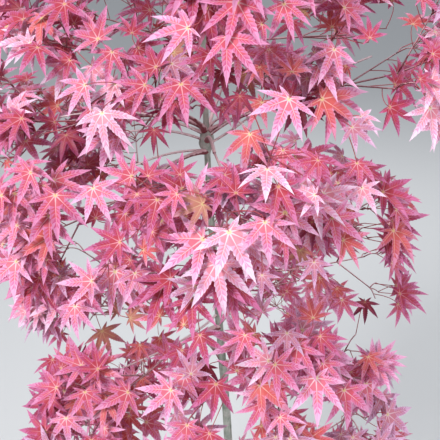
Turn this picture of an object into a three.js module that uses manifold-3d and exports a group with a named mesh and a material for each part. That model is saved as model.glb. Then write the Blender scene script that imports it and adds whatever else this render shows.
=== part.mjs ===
// A young Japanese maple in pink spring leaf: a slender trunk with a root flare and a knobby
// whorl, arching boughs in opposite pairs, and one mass of twigs and palmate leaves on each.
// Millimetres, +Z up. The origin is the centre of the flat cut under the trunk, at ground level.

import * as THREE from "three";
import { mergeVertices } from "three/addons/utils/BufferGeometryUtils.js";
import Module from "manifold-3d";

const wasm = await Module();
wasm.setup();

const UP = new THREE.Vector3(0, 0, 1);
const FRONT = new THREE.Vector3(0, -1, 0);
const DEG = Math.PI / 180;
const STEEP = 0.95;

// Trunk
const TRUNK_TOP = 1300;
const TRUNK_BASE_RADIUS = 8.6;
const TRUNK_TIP_RADIUS = 1.6;
const TRUNK_TAPER = 0.9;
const TRUNK_LEAN = 0.035;
const TRUNK_SWAY = 5;
const TRUNK_SWAY_DEPTH = 3.5;
const SWAY_LENGTH = 900;
const SWAY_START = 378;
const TRUNK_SIDES = 10;
const FOOT_RINGS = [0, 8, 20, 40, 75];
const RING_STEP = 150;
const TOP_RING_STEP = 54;
const FLARE_RADIUS = 8;
const FLARE_HEIGHT = 26;
const FLARE_ROOTS = 5;
const FLARE_LOBES = 0.22;
const KNOB_HEIGHT = 1062;
const KNOB_SWELL = 4.2;
const KNOB_HALF_LENGTH = 10.5;
const KNOB_SQUARENESS = 4;
const KNOB_LUMPS = 0.2;
const KNOB_RIBS = 3;
const KNOB_RIB_PITCH = 7;
const KNOB_KNOTS = 2;
const KNOB_KNOT_PITCH = 5;
const KNOB_RING_SPAN = 24;
const KNOB_RING_STEP = 6;
const ROD_STEP = 35;

// Levels of opposite boughs: height on the trunk, azimuth of the first of the two (0 is +X, 90 is
// the back), slope at the trunk and at the end, and how long bough and stem are together.
const LEVELS = [
  { z: 612, azimuth: 346, rise: 46, end: 18, reach: [184, 172] },
  { z: 736, azimuth: 248, rise: 50, end: 6, reach: [172, 170] },
  { z: 772, azimuth: 322, rise: 42, end: 6, reach: [176, 172] },
  { z: 828, azimuth: 224, rise: 20, end: -10, reach: [192, 172] },
  { z: 868, azimuth: 286, rise: 34, end: -2, reach: [190, 182] },
  { z: 888, azimuth: 6, rise: 30, end: -4, reach: [176, 176] },
  { z: 984, azimuth: 326, rise: 42, end: 0, reach: [168, 172] },
  { z: 1106, azimuth: 312, rise: 52, end: 14, reach: [156, 164] },
  { z: 1132, azimuth: 194, rise: 40, end: 4, reach: [158, 168] },
  { z: 1200, azimuth: 285, rise: 48, end: 14, reach: [150, 150] },
  { z: 1250, azimuth: 20, rise: 50, end: 18, reach: [128, 128] },
];
// The whorl on the knob: each bough's own height above it besides
const WHORL = [
  { above: 12, azimuth: 187, rise: 32, end: -2, reach: 192 },
  { above: -12, azimuth: 216, rise: 6, end: -24, reach: 190 },
  { above: 8, azimuth: 352, rise: 32, end: 16, reach: 240 },
  { above: -2, azimuth: 276, rise: 40, end: -6, reach: 206 },
  { above: 2, azimuth: 80, rise: 38, end: 2, reach: 186 },
  { above: 6, azimuth: 238, rise: 60, end: 20, reach: 124 },
];
const LEADER_LENGTH = 88;
const BOUGH_SHARE = 0.38;
const BOUGH_THICKENING = 1.3;
const BOUGH_MIDDLE_RADIUS = 1.8;
const BOUGH_TIP_RADIUS = 1.6;
const BOUGH_SIDES = 5;
const BOUGH_STEPS = 4;
const BOUGH_ARCH = 0.7;
const PAIR_RISE = 7;

// Twigs
const TWIG_SIDES = 3;
const STEM_RADIUS = 1.7;
const TWIG_TIP_RADIUS = 1.15;
const TWIG_THINNING = 0.85;
const STEM_STEPS = 3;
const TWIG_PAIRS = 2;
const SIDE_TWIG_SHARE = 0.56;
const SIDE_TWIG_LOSS = 0.12;
const SIDE_TWIG_ANGLE = 52 * DEG;
const NODE_TURN = 80 * DEG;
const TWIG_WANDER = 0.13;
const TWIG_RISE = 0.02;
const TWIG_SHARE_SPREAD = 0.06;
const TWIG_TURN_SPREAD = 0.3;
const FORK_SHARE = 0.35;
const END_INSET = 1.5;
const END_STAGGER = 2.2;
const CENTRE_SHARE = 0.6;
const FIRST_SEED = 100;
const SEED_STEP = 17;
const LEADER_SEED = 900;

// Leaves
const LEAF_LENGTH = 52;
const LEAF_SPREAD = 0.15;
const LEAF_THICKNESS = 1.1;
const LEAF_ATTEMPTS = 8;
const LEAF_STAGGER = 1.3;
const PETIOLE_LENGTH = 27;
const PETIOLE_RADIUS = 0.5;
const PETIOLE_KEEL_SHARE = 1 / 3;
const LOBE_ANGLES = [-98, -48, 0, 48, 98];
const LOBE_LENGTHS = [0.64, 0.91, 1, 0.91, 0.64];
const LOBE_DROOP = 0.15;
const NOTCH_REACH = 0.41;
const NOTCH_DROOP = 0.03;
const HEEL_ANGLE = 165;
const HEEL_REACH = 0.05;
const STALK_ALONG = 0.6;
const STALK_AWAY = 0.8;
const STALK_UP = [-0.1, 0.7];
const STALK_FRONT = [-0.15, 0.25];
const STALK_STRETCH = [0.75, 1.25];
const STALK_RISE = 0.12;
const STALK_FORK_SHARE = 0.3;
const FACE_UP = [0.5, 1.1];
const FACE_OUT = [0.2, 0.8];
const FACE_FRONT = [0.1, 0.5];
const TIP_OUT = 0.4;
const TIP_SAG = 0.5;
const TIP_STRAY = 0.5;

// Gaps
const SEAT_GAP = 0.3;
const SPACE_MARGIN = 0.4;
const LIMB_MARGIN = 1.2;
const TWIG_MARGIN = 0.3;
const GROUND_CLEARANCE = 20;
const CLEARING_CORNERS = 2;
const MESH_TOLERANCE = 0.05;
const WELD_DISTANCE = 1e-4;
const NEARLY_NOTHING = 1e-9;

// Clear lines of sight through the crown from the front: each is an ellipse on the upright plane
// through the trunk, seen from the eye, in which no leaf is set.
const EYE = new THREE.Vector3(-26, -624, 1288);
const CLEARINGS = [
  { x: 120, z: 1142, halfWide: 22, halfHigh: 44 },
  { x: 148, z: 850, halfWide: 32, halfHigh: 66 },
  { x: -186, z: 944, halfWide: 24, halfHigh: 36 },
  { x: -160, z: 832, halfWide: 34, halfHigh: 16 },
  { x: -4, z: 1052, halfWide: 15, halfHigh: 12 },
  { x: -92, z: 1079, halfWide: 44, halfHigh: 7 },
  { x: 70, z: 1074, halfWide: 24, halfHigh: 9 },
  { x: -30, z: 806, halfWide: 11, halfHigh: 64 },
  { x: -6, z: 672, halfWide: 22, halfHigh: 30 },
  { x: 118, z: 690, halfWide: 26, halfHigh: 30 },
];

const WOOD = new THREE.MeshStandardMaterial({ color: 0x83877a, roughness: 0.85, metalness: 0 });
const SHOOT = new THREE.MeshStandardMaterial({ color: 0x8a3a48, roughness: 0.6, metalness: 0 });
const LEAF = new THREE.MeshStandardMaterial({ color: 0xe5819c, roughness: 0.55, metalness: 0 });

// Chance by a seeded rule: the same numbers on every run
const CHANCE_FACTOR = 1664525;
const CHANCE_STEP = 1013904223;
const CHANCE_SPAN = 2 ** 32;

function seeded(seed) {
  let state = seed >>> 0;
  const next = () => {
    state = (Math.imul(state, CHANCE_FACTOR) + CHANCE_STEP) >>> 0;
    return state / CHANCE_SPAN;
  };
  next();
  return (low, high) => low + (high - low) * next();
}

function headingOf(azimuth, elevation) {
  const level = Math.cos(elevation);
  return new THREE.Vector3(Math.cos(azimuth) * level, Math.sin(azimuth) * level, Math.sin(elevation));
}

// What is left of a vector square to a direction, made one long
function squareTo(vector, direction) {
  return vector.clone().addScaledVector(direction, -vector.dot(direction)).normalize();
}

// The line and radius of the trunk
function swayAt(z) {
  return TRUNK_SWAY * Math.sin((2 * Math.PI * (z - SWAY_START)) / SWAY_LENGTH);
}

function trunkPoint(z) {
  const quarter = SWAY_LENGTH / 4;
  const x = swayAt(z) - swayAt(0) - TRUNK_LEAN * z;
  const y = (TRUNK_SWAY_DEPTH / TRUNK_SWAY) * (swayAt(z + quarter) - swayAt(quarter));
  return new THREE.Vector3(x, y, z);
}

function knobAt(z) {
  return Math.exp(-(((z - KNOB_HEIGHT) / KNOB_HALF_LENGTH) ** KNOB_SQUARENESS));
}

function trunkRadius(z) {
  const taper = Math.pow(Math.max(0, 1 - z / TRUNK_TOP), TRUNK_TAPER);
  const plain = TRUNK_TIP_RADIUS + (TRUNK_BASE_RADIUS - TRUNK_TIP_RADIUS) * taper;
  return plain + KNOB_SWELL * knobAt(z);
}

// Root flare at the foot and lumps on the knob, which differ round the trunk
function unevenAt(z, angle) {
  const roots = 1 + FLARE_LOBES * Math.cos(FLARE_ROOTS * angle);
  const ribs = Math.sin(KNOB_RIBS * angle + z / KNOB_RIB_PITCH);
  const knots = Math.cos(KNOB_KNOTS * angle - z / KNOB_KNOT_PITCH);
  const flare = FLARE_RADIUS * Math.exp(-z / FLARE_HEIGHT) * roots;
  return flare + KNOB_LUMPS * KNOB_SWELL * knobAt(z) * (ribs + knots);
}

// Closed solids from points and triangles
function solidOf(points, faces) {
  const geometry = new THREE.BufferGeometry();
  const numbers = points.flatMap((p) => [p.x, p.y, p.z]);
  geometry.setAttribute("position", new THREE.Float32BufferAttribute(numbers, 3));
  geometry.setIndex(faces.flat());
  const merged = mergeVertices(geometry, WELD_DISTANCE);
  const mesh = new wasm.Mesh({
    numProp: 3,
    vertProperties: new Float32Array(merged.attributes.position.array),
    triVerts: new Uint32Array(merged.index.array),
  });
  return new wasm.Manifold(mesh);
}

function meshOf(name, solid, material) {
  const made = solid.getMesh();
  const geometry = new THREE.BufferGeometry();
  geometry.setAttribute("position", new THREE.BufferAttribute(made.vertProperties, 3));
  geometry.setIndex(new THREE.BufferAttribute(made.triVerts, 1));
  geometry.computeVertexNormals();
  const mesh = new THREE.Mesh(geometry, material);
  mesh.name = name;
  return mesh;
}

// The rings of a tube round a line of points; level rings stay horizontal
function tubeRings(points, sides, radiusAt, level) {
  const curve = new THREE.CatmullRomCurve3(points);
  const first = level ? UP : curve.getTangent(0);
  const across = squareTo(Math.abs(first.z) < STEEP ? UP : FRONT, first);
  const rings = [];
  points.forEach((point, i) => {
    const tangent = level ? UP : curve.getTangent(i / (points.length - 1));
    across.copy(squareTo(across, tangent));
    const over = new THREE.Vector3().crossVectors(tangent, across);
    for (let k = 0; k < sides; k++) {
      const angle = (2 * Math.PI * k) / sides;
      const radius = radiusAt(i, angle);
      const corner = point.clone().addScaledVector(across, radius * Math.cos(angle));
      rings.push(corner.addScaledVector(over, radius * Math.sin(angle)));
    }
  });
  return rings;
}

function tube(points, sides, radiusAt, level = false) {
  const faces = [];
  for (let i = 0; i + 1 < points.length; i++) {
    for (let k = 0; k < sides; k++) {
      const a = i * sides + k;
      const b = i * sides + ((k + 1) % sides);
      faces.push([a, b, b + sides], [a, b + sides, a + sides]);
    }
  }
  const last = (points.length - 1) * sides;
  for (let k = 1; k + 1 < sides; k++) faces.push([0, k + 1, k], [last, last + k, last + k + 1]);
  return solidOf(tubeRings(points, sides, radiusAt, level), faces);
}

function trunkSolid(extra = 0) {
  const heights = [...FOOT_RINGS];
  const knobFoot = KNOB_HEIGHT - KNOB_RING_SPAN;
  const knobTop = KNOB_HEIGHT + KNOB_RING_SPAN;
  for (let z = RING_STEP; z < knobFoot; z += RING_STEP) heights.push(z);
  for (let z = knobFoot; z <= knobTop; z += KNOB_RING_STEP) heights.push(z);
  for (let z = knobTop + TOP_RING_STEP; z < TRUNK_TOP; z += TOP_RING_STEP) heights.push(z);
  heights.push(TRUNK_TOP);
  const radiusAt = (i, angle) => trunkRadius(heights[i]) + unevenAt(heights[i], angle) + extra;
  return tube(heights.map(trunkPoint), TRUNK_SIDES, radiusAt, true);
}

// Boughs: each an arch from the trunk's axis to where its leaves begin
function boughPlan() {
  const plan = [];
  LEVELS.forEach(({ z, azimuth, rise, end, reach }, i) => {
    const shared = { rise, end };
    const across = azimuth + 180;
    plan.push({ name: `level${i + 1}_a`, z, azimuth, reach: reach[0], ...shared });
    plan.push({ name: `level${i + 1}_b`, z: z + PAIR_RISE, azimuth: across, reach: reach[1], ...shared });
  });
  WHORL.forEach(({ above, azimuth, rise, end, reach }, i) => {
    plan.push({ name: `whorl_${i + 1}`, z: KNOB_HEIGHT + above, azimuth, rise, end, reach });
  });
  return plan.map(archedBough);
}

function archedBough(bough) {
  const length = BOUGH_SHARE * bough.reach + trunkRadius(bough.z);
  const line = [trunkPoint(bough.z)];
  for (let i = 0; i < BOUGH_STEPS; i++) {
    const share = Math.pow((i + 0.5) / BOUGH_STEPS, BOUGH_ARCH);
    const slope = (bough.rise + (bough.end - bough.rise) * share) * DEG;
    const step = headingOf(bough.azimuth * DEG, slope);
    line.push(line[i].clone().addScaledVector(step, length / BOUGH_STEPS));
  }
  const base = BOUGH_MIDDLE_RADIUS + BOUGH_THICKENING * (1 - bough.z / TRUNK_TOP);
  const radii = line.map((_, i) => base + (BOUGH_TIP_RADIUS - base) * (i / BOUGH_STEPS));
  return { ...bough, line, radii };
}

// Limbs as round-ended rods, which twigs and leaves keep clear of
function limbRods(boughs) {
  const rods = [];
  for (let z = 0; z < TRUNK_TOP; z += ROD_STEP) {
    const end = Math.min(TRUNK_TOP, z + ROD_STEP);
    const radius = Math.max(trunkRadius(z), trunkRadius(end));
    rods.push({ a: trunkPoint(z), b: trunkPoint(end), radius });
  }
  for (const { line, radii } of boughs) {
    for (let i = 0; i + 1 < line.length; i++) rods.push({ a: line[i], b: line[i + 1], radius: radii[i] });
  }
  return rods;
}

// Shortest distance between the straight pieces a-b and c-d
function gapBetween(a, b, c, d) {
  const u = b.clone().sub(a);
  const v = d.clone().sub(c);
  const w = a.clone().sub(c);
  const [uu, uv, vv, uw, vw] = [u.dot(u), u.dot(v), v.dot(v), u.dot(w), v.dot(w)];
  const clamp = (x) => Math.min(1, Math.max(0, x));
  const scale = uu * vv - uv * uv;
  const near = scale < NEARLY_NOTHING ? 0 : clamp((uv * vw - vv * uw) / scale);
  const t = clamp((uv * near + vw) / vv);
  const s = clamp((uv * t - uw) / uu);
  return w.addScaledVector(u, s).addScaledVector(v, -t).length();
}

function clearOf(rods, a, b, room) {
  return rods.every((rod) => gapBetween(a, b, rod.a, rod.b) > rod.radius + room);
}

// Whether the straight piece from a to b goes through a triangle
function crosses(a, b, [p, q, r]) {
  const along = b.clone().sub(a);
  const first = q.clone().sub(p);
  const second = r.clone().sub(p);
  const h = new THREE.Vector3().crossVectors(along, second);
  const scale = first.dot(h);
  if (Math.abs(scale) < NEARLY_NOTHING) return false;
  const s = a.clone().sub(p);
  const u = s.dot(h) / scale;
  const k = new THREE.Vector3().crossVectors(s, first);
  const v = along.dot(k) / scale;
  const t = second.dot(k) / scale;
  return u >= 0 && v >= 0 && u + v <= 1 && t >= 0 && t <= 1;
}

// A leaf: a thin palmate star with drooping tips, on a stalk which starts at its root
function leafShape(root, base, forward, normal, length) {
  const side = new THREE.Vector3().crossVectors(normal, forward);
  const at = (angle, reach, drop) =>
    base
      .clone()
      .addScaledVector(forward, length * reach * Math.cos(angle * DEG))
      .addScaledVector(side, length * reach * Math.sin(angle * DEG))
      .addScaledVector(normal, -length * drop);
  const outline = [at(-HEEL_ANGLE, HEEL_REACH, 0)];
  LOBE_ANGLES.forEach((angle, i) => {
    if (i) outline.push(at((LOBE_ANGLES[i - 1] + angle) / 2, NOTCH_REACH, NOTCH_DROOP));
    outline.push(at(angle, LOBE_LENGTHS[i], LOBE_DROOP));
  });
  outline.push(at(HEEL_ANGLE, HEEL_REACH, 0));
  const top = base.clone().addScaledVector(normal, LEAF_THICKNESS / 2);
  const bottom = base.clone().addScaledVector(normal, -LEAF_THICKNESS / 2);
  return { root, base, length, outline, top, bottom, foot: stalkFoot(root, base, side, forward) };
}

function stalkFoot(root, base, side, forward) {
  const stalk = base.clone().sub(root).normalize();
  const across = squareTo(side, stalk);
  const under = new THREE.Vector3().crossVectors(stalk, across);
  if (under.dot(forward) < 0) under.negate();
  const heel = root.clone().addScaledVector(under, -PETIOLE_RADIUS * PETIOLE_KEEL_SHARE);
  return [
    heel.clone().addScaledVector(across, -PETIOLE_RADIUS),
    heel.clone().addScaledVector(across, PETIOLE_RADIUS),
    heel.clone().addScaledVector(under, PETIOLE_RADIUS),
  ];
}

function leafSolid(leaf) {
  const count = leaf.outline.length;
  const [top, bottom, right, left, under] = [0, 1, 2, 3, 4].map((i) => count + i);
  const faces = [[top, count - 1, 0]];
  for (let i = 0; i + 1 < count; i++) faces.push([top, i, i + 1], [bottom, i + 1, i]);
  const sleeves = [
    [0, count - 1, left, right],
    [count - 1, bottom, under, left],
    [bottom, 0, right, under],
  ];
  for (const [a, b, c, d] of sleeves) faces.push([a, b, c], [a, c, d]);
  faces.push([right, left, under]);
  return solidOf([...leaf.outline, leaf.top, leaf.bottom, ...leaf.foot], faces);
}

function leafEdges(leaf) {
  const edges = leaf.outline.filter((_, i) => i % 2 === 1).map((tip) => [leaf.base, tip]);
  for (let i = 0; i + 1 < leaf.outline.length; i++) edges.push([leaf.outline[i], leaf.outline[i + 1]]);
  return edges;
}

function leafBlade(leaf) {
  const blade = [];
  for (let i = 0; i + 1 < leaf.outline.length; i++) {
    blade.push([leaf.base, leaf.outline[i], leaf.outline[i + 1]]);
  }
  return blade;
}

function leavesCross(one, other) {
  if (one.base.distanceTo(other.base) > one.length + other.length + PETIOLE_LENGTH) return false;
  const through = (x, y) => {
    const lines = [...leafEdges(x), [x.root, x.base]];
    return lines.some(([a, b]) => leafBlade(y).some((triangle) => crosses(a, b, triangle)));
  };
  return through(one, other) || through(other, one);
}

// The space of one mass: all that lies nearer to its own centre than to any other's
function spaceOf(index, centres) {
  const own = centres[index];
  const others = centres.filter((_, j) => j !== index);
  const walls = others.map((other) => {
    const outward = other.clone().sub(own).normalize();
    return { outward, limit: own.clone().add(other).multiplyScalar(0.5).dot(outward) };
  });
  return (point, room = 0) =>
    point.z > GROUND_CLEARANCE + room &&
    walls.every((wall) => point.dot(wall.outward) < wall.limit - SPACE_MARGIN - room);
}

function inClearing(point) {
  const share = -EYE.y / (point.y - EYE.y);
  const x = EYE.x + (point.x - EYE.x) * share;
  const z = EYE.z + (point.z - EYE.z) * share;
  return CLEARINGS.some((c) => ((x - c.x) / c.halfWide) ** 2 + ((z - c.z) / c.halfHigh) ** 2 < 1);
}

// Masses: one at the tip of each bough, and one on the tip of the trunk
function massPlan(boughs) {
  const plan = boughs.map(({ name, line, reach }, i) => {
    const [before, tip] = line.slice(-2);
    const heading = tip.clone().sub(before).normalize();
    const seed = FIRST_SEED + SEED_STEP * i;
    return { name: `${name}_leaves`, seed, tip, heading, length: (1 - BOUGH_SHARE) * reach };
  });
  const leader = { tip: trunkPoint(TRUNK_TOP), heading: UP.clone(), length: LEADER_LENGTH };
  plan.push({ name: "leader_leaves", seed: LEADER_SEED, ...leader });
  return plan.map((mass) => ({
    ...mass,
    start: mass.tip.clone().addScaledVector(mass.heading, SEAT_GAP),
    centre: mass.tip.clone().addScaledVector(mass.heading, CENTRE_SHARE * mass.length),
  }));
}

// One twig grows node by node until it would leave its space or touch a limb
function twigLine(mass, start, heading, length, radius, steps) {
  const line = [start.clone()];
  const along = heading.clone();
  for (let i = 0; i < steps; i++) {
    along.x += mass.chance(-TWIG_WANDER, TWIG_WANDER);
    along.y += mass.chance(-TWIG_WANDER, TWIG_WANDER);
    along.z += mass.chance(-TWIG_WANDER, TWIG_WANDER) + TWIG_RISE;
    along.normalize();
    const next = line[i].clone().addScaledVector(along, length / steps);
    const from = line[i].clone().lerp(next, i ? 0 : FORK_SHARE);
    if (!mass.holds(next, radius) || !clearOf(mass.limbs, from, next, radius + LIMB_MARGIN)) break;
    line.push(next);
  }
  return line;
}

// The level direction square to a twig, from which the turn of each pair is counted
function levelSide(along) {
  const level = new THREE.Vector3().crossVectors(UP, along);
  return squareTo(Math.abs(along.z) < STEEP ? level : FRONT, along);
}

// A stem's first joints carry a pair of side twigs each, every other joint and twig end its leaves
function growTwig(mass, start, heading, length, radius, order) {
  const line = twigLine(mass, start, heading, length, radius, order ? STEM_STEPS : 1);
  if (line.length < 2) return;
  mass.twigs.push({ line, radius });
  const turn = mass.chance(-TWIG_TURN_SPREAD, TWIG_TURN_SPREAD);
  for (let i = 1; i < line.length; i++) {
    const along = line[i].clone().sub(line[i - 1]).normalize();
    const level = levelSide(along);
    const over = new THREE.Vector3().crossVectors(along, level);
    const roll = turn + (i - 1) * NODE_TURN;
    const side = level.multiplyScalar(Math.cos(roll)).addScaledVector(over, Math.sin(roll));
    const last = i + 1 === line.length;
    const root = line[i].clone().addScaledVector(along, last ? -END_INSET : 0);
    for (const hand of [1, -1]) {
      const away = side.clone().multiplyScalar(hand);
      if (order && !last && i <= TWIG_PAIRS) {
        const spread = mass.chance(-TWIG_SHARE_SPREAD, TWIG_SHARE_SPREAD);
        const share = SIDE_TWIG_SHARE - SIDE_TWIG_LOSS * (i - 1) + spread;
        const branch = away.multiplyScalar(Math.sin(SIDE_TWIG_ANGLE));
        branch.addScaledVector(along, Math.cos(SIDE_TWIG_ANGLE));
        growTwig(mass, root, branch, length * share, TWIG_THINNING * radius, order - 1);
      } else {
        const shift = LEAF_STAGGER * hand - (last ? END_STAGGER : 0);
        mass.sites.push({ root: root.clone().addScaledVector(along, shift), along, away });
      }
    }
    if (last) mass.sites.push({ root, along, away: along });
  }
}

// How a leaf hangs: its face up, outward and a little to the front, its tip down along the stalk
function leafAt(mass, { root, along, away }) {
  const { chance } = mass;
  const stalk = along.clone().multiplyScalar(STALK_ALONG).addScaledVector(away, STALK_AWAY);
  stalk.addScaledVector(UP, chance(...STALK_UP)).addScaledVector(FRONT, chance(...STALK_FRONT)).normalize();
  const base = root.clone().addScaledVector(stalk, PETIOLE_LENGTH * chance(...STALK_STRETCH));
  const trunk = trunkPoint(base.z);
  const outward = new THREE.Vector3(base.x - trunk.x, base.y - trunk.y, 0).normalize();
  const normal = UP.clone().multiplyScalar(chance(...FACE_UP)).addScaledVector(outward, chance(...FACE_OUT));
  normal.addScaledVector(FRONT, chance(...FACE_FRONT)).normalize();
  const hang = stalk.clone().addScaledVector(outward, TIP_OUT).addScaledVector(UP, -TIP_SAG);
  hang.x += chance(-TIP_STRAY, TIP_STRAY);
  hang.y += chance(-TIP_STRAY, TIP_STRAY);
  const forward = squareTo(hang, normal);
  const length = LEAF_LENGTH * (1 + chance(-LEAF_SPREAD, LEAF_SPREAD));
  if (stalk.dot(normal) < STALK_RISE) return null;
  return leafShape(root, base, forward, normal, length);
}

function leafFits(mass, leaf) {
  const corners = [...leaf.outline, leaf.top, leaf.bottom, ...leaf.foot];
  if (!corners.every((corner) => mass.holds(corner))) return false;
  if (inClearing(leaf.base) || leaf.outline.filter(inClearing).length > CLEARING_CORNERS) return false;
  const stalkFrom = leaf.root.clone().lerp(leaf.base, STALK_FORK_SHARE);
  if (!clearOf(mass.limbs, stalkFrom, leaf.base, PETIOLE_RADIUS + LIMB_MARGIN)) return false;
  const edges = leafEdges(leaf);
  if (!edges.every(([a, b]) => clearOf(mass.limbs, a, b, LIMB_MARGIN))) return false;
  if (!edges.every(([a, b]) => clearOf(mass.twigRods, a, b, TWIG_MARGIN))) return false;
  const blade = leafBlade(leaf);
  const rods = [...mass.limbs, ...mass.twigRods];
  if (rods.some((rod) => blade.some((triangle) => crosses(rod.a, rod.b, triangle)))) return false;
  return !mass.leaves.some((other) => leavesCross(leaf, other));
}

function growMass(plan, holds, limbs) {
  const mass = { ...plan, holds, limbs, chance: seeded(plan.seed), twigs: [], sites: [], leaves: [] };
  growTwig(mass, mass.start, mass.heading, mass.length, STEM_RADIUS, 1);
  mass.twigRods = mass.twigs.flatMap(({ line, radius }) =>
    line.slice(1).map((point, i) => ({ a: line[i], b: point, radius })),
  );
  for (const site of mass.sites) {
    for (let attempt = 0; attempt < LEAF_ATTEMPTS; attempt++) {
      const leaf = leafAt(mass, site);
      if (leaf && leafFits(mass, leaf)) {
        mass.leaves.push(leaf);
        break;
      }
    }
  }
  return mass;
}

// Twigs and leaves made one body; a hollow that they seal in is filled
function massSolid({ twigs, leaves }) {
  const parts = twigs.map(({ line, radius }) => {
    const tapered = (i) => radius + (TWIG_TIP_RADIUS - radius) * (i / (line.length - 1));
    return tube(line, TWIG_SIDES, tapered);
  });
  const whole = wasm.Manifold.union([...parts, ...leaves.map(leafSolid)]).simplify(MESH_TOLERANCE);
  return whole.decompose().sort((a, b) => b.volume() - a.volume())[0];
}

function tree() {
  const group = new THREE.Group();
  const boughs = boughPlan();
  const limbs = limbRods(boughs);
  const trunkRoom = trunkSolid(SEAT_GAP);
  group.add(meshOf("trunk", trunkSolid(), WOOD));
  for (const { name, line, radii } of boughs) {
    const limb = tube(line, BOUGH_SIDES, (i) => radii[i]).subtract(trunkRoom);
    group.add(meshOf(`${name}_bough`, limb, SHOOT));
  }
  const masses = massPlan(boughs);
  const centres = masses.map((mass) => mass.centre);
  masses.forEach((mass, i) => {
    group.add(meshOf(mass.name, massSolid(growMass(mass, spaceOf(i, centres), limbs)), LEAF));
  });
  return group;
}

export default tree();
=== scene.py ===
# The looks of a young Japanese maple in pink spring leaf. The limbs and the first twigs follow the
# part's own rule; finer shoots and serrated palmate leaves then grow on from them.
# Lengths are in millimetres, as in the part, and become metres when a mesh or a camera is made.

import math
from types import SimpleNamespace

import bpy
import numpy as np
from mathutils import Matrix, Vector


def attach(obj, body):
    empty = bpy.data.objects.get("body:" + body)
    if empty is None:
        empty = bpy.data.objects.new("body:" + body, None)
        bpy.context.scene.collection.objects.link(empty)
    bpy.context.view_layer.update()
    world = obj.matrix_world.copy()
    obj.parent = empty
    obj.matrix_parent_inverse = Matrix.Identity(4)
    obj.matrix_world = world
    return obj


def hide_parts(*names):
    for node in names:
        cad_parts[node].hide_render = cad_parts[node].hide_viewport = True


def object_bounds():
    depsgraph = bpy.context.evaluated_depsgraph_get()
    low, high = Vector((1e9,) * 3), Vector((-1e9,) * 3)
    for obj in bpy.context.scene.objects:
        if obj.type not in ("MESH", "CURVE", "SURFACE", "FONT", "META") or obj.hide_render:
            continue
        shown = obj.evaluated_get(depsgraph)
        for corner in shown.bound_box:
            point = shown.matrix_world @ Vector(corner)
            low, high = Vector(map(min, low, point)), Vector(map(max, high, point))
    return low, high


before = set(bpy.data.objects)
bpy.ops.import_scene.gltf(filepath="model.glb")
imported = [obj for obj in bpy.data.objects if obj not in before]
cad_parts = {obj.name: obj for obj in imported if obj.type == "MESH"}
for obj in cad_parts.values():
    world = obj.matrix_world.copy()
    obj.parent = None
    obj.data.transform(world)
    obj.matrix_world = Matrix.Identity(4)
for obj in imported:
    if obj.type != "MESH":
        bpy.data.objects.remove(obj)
CAD_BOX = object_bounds()

MM = 0.001
UP = np.array([0.0, 0.0, 1.0])
RIGHT = np.array([1.0, 0.0, 0.0])
FRONT = np.array([0.0, -1.0, 0.0])
STEEP = 0.95
TINY = 1e-9

# The part's rule of chance
CHANCE_FACTOR = 1664525
CHANCE_STEP = 1013904223
CHANCE_SPAN = 2**32

# Trunk
TRUNK_TOP = 1300
TRUNK_BASE_RADIUS = 8.6
TRUNK_TIP_RADIUS = 1.6
TRUNK_TAPER = 0.9
TRUNK_LEAN = 0.035
TRUNK_SWAY = 5
TRUNK_SWAY_DEPTH = 3.5
SWAY_LENGTH = 900
SWAY_START = 378
FLARE_RADIUS = 8
FLARE_HEIGHT = 26
FLARE_ROOTS = 5
FLARE_LOBES = 0.22
KNOB_HEIGHT = 1062
KNOB_SWELL = 4.2
KNOB_HALF_LENGTH = 10.5
KNOB_SQUARENESS = 4
KNOB_LUMPS = 0.2
KNOB_RIBS = 3
KNOB_RIB_PITCH = 7
KNOB_KNOTS = 2
KNOB_KNOT_PITCH = 5
ROD_STEP = 35

# The trunk's mesh, with finer rings at its foot, and the waves of its bark: how many go round it,
# how far they lean with height and how deep they are as a share of its radius
TRUNK_SIDES = 32
TRUNK_RING_STEP = 4
FOOT_HEIGHT = 90
FOOT_RINGS = 40
BARK_DEPTH = 0.03
BARK_RIDGES = 5
BARK_RIDGE_PITCH = 31
BARK_PATCHES = 2
BARK_PATCH_PITCH = 17
BARK_LINES = 9
BARK_LINE_PITCH = 9
BARK_LINE_SHARE = 0.5

# Levels of opposite boughs and the whorl on the knob: height, azimuth of the first bough (0 is +X,
# 90 is the back), slope at the trunk and at the end, and how long bough and stem are together
LEVELS = [
    dict(z=612, azimuth=346, rise=46, end=18, reach=(184, 172)),
    dict(z=736, azimuth=248, rise=50, end=6, reach=(172, 170)),
    dict(z=772, azimuth=322, rise=42, end=6, reach=(176, 172)),
    dict(z=828, azimuth=224, rise=20, end=-10, reach=(192, 172)),
    dict(z=868, azimuth=286, rise=34, end=-2, reach=(190, 182)),
    dict(z=888, azimuth=6, rise=30, end=-4, reach=(176, 176)),
    dict(z=984, azimuth=326, rise=42, end=0, reach=(168, 172)),
    dict(z=1106, azimuth=312, rise=52, end=14, reach=(156, 164)),
    dict(z=1132, azimuth=194, rise=40, end=4, reach=(158, 168)),
    dict(z=1200, azimuth=285, rise=48, end=14, reach=(150, 150)),
    dict(z=1250, azimuth=20, rise=50, end=18, reach=(128, 128)),
]
WHORL = [
    dict(above=12, azimuth=187, rise=32, end=-2, reach=192),
    dict(above=-12, azimuth=216, rise=6, end=-24, reach=190),
    dict(above=8, azimuth=352, rise=32, end=16, reach=240),
    dict(above=-2, azimuth=276, rise=40, end=-6, reach=206),
    dict(above=2, azimuth=80, rise=38, end=2, reach=186),
    dict(above=6, azimuth=238, rise=60, end=20, reach=124),
]
LEADER_LENGTH = 88
BOUGH_SHARE = 0.38
BOUGH_THICKENING = 1.3
BOUGH_MIDDLE_RADIUS = 1.8
BOUGH_TIP_RADIUS = 1.6
BOUGH_STEPS = 4
BOUGH_ARCH = 0.7
PAIR_RISE = 7

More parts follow.
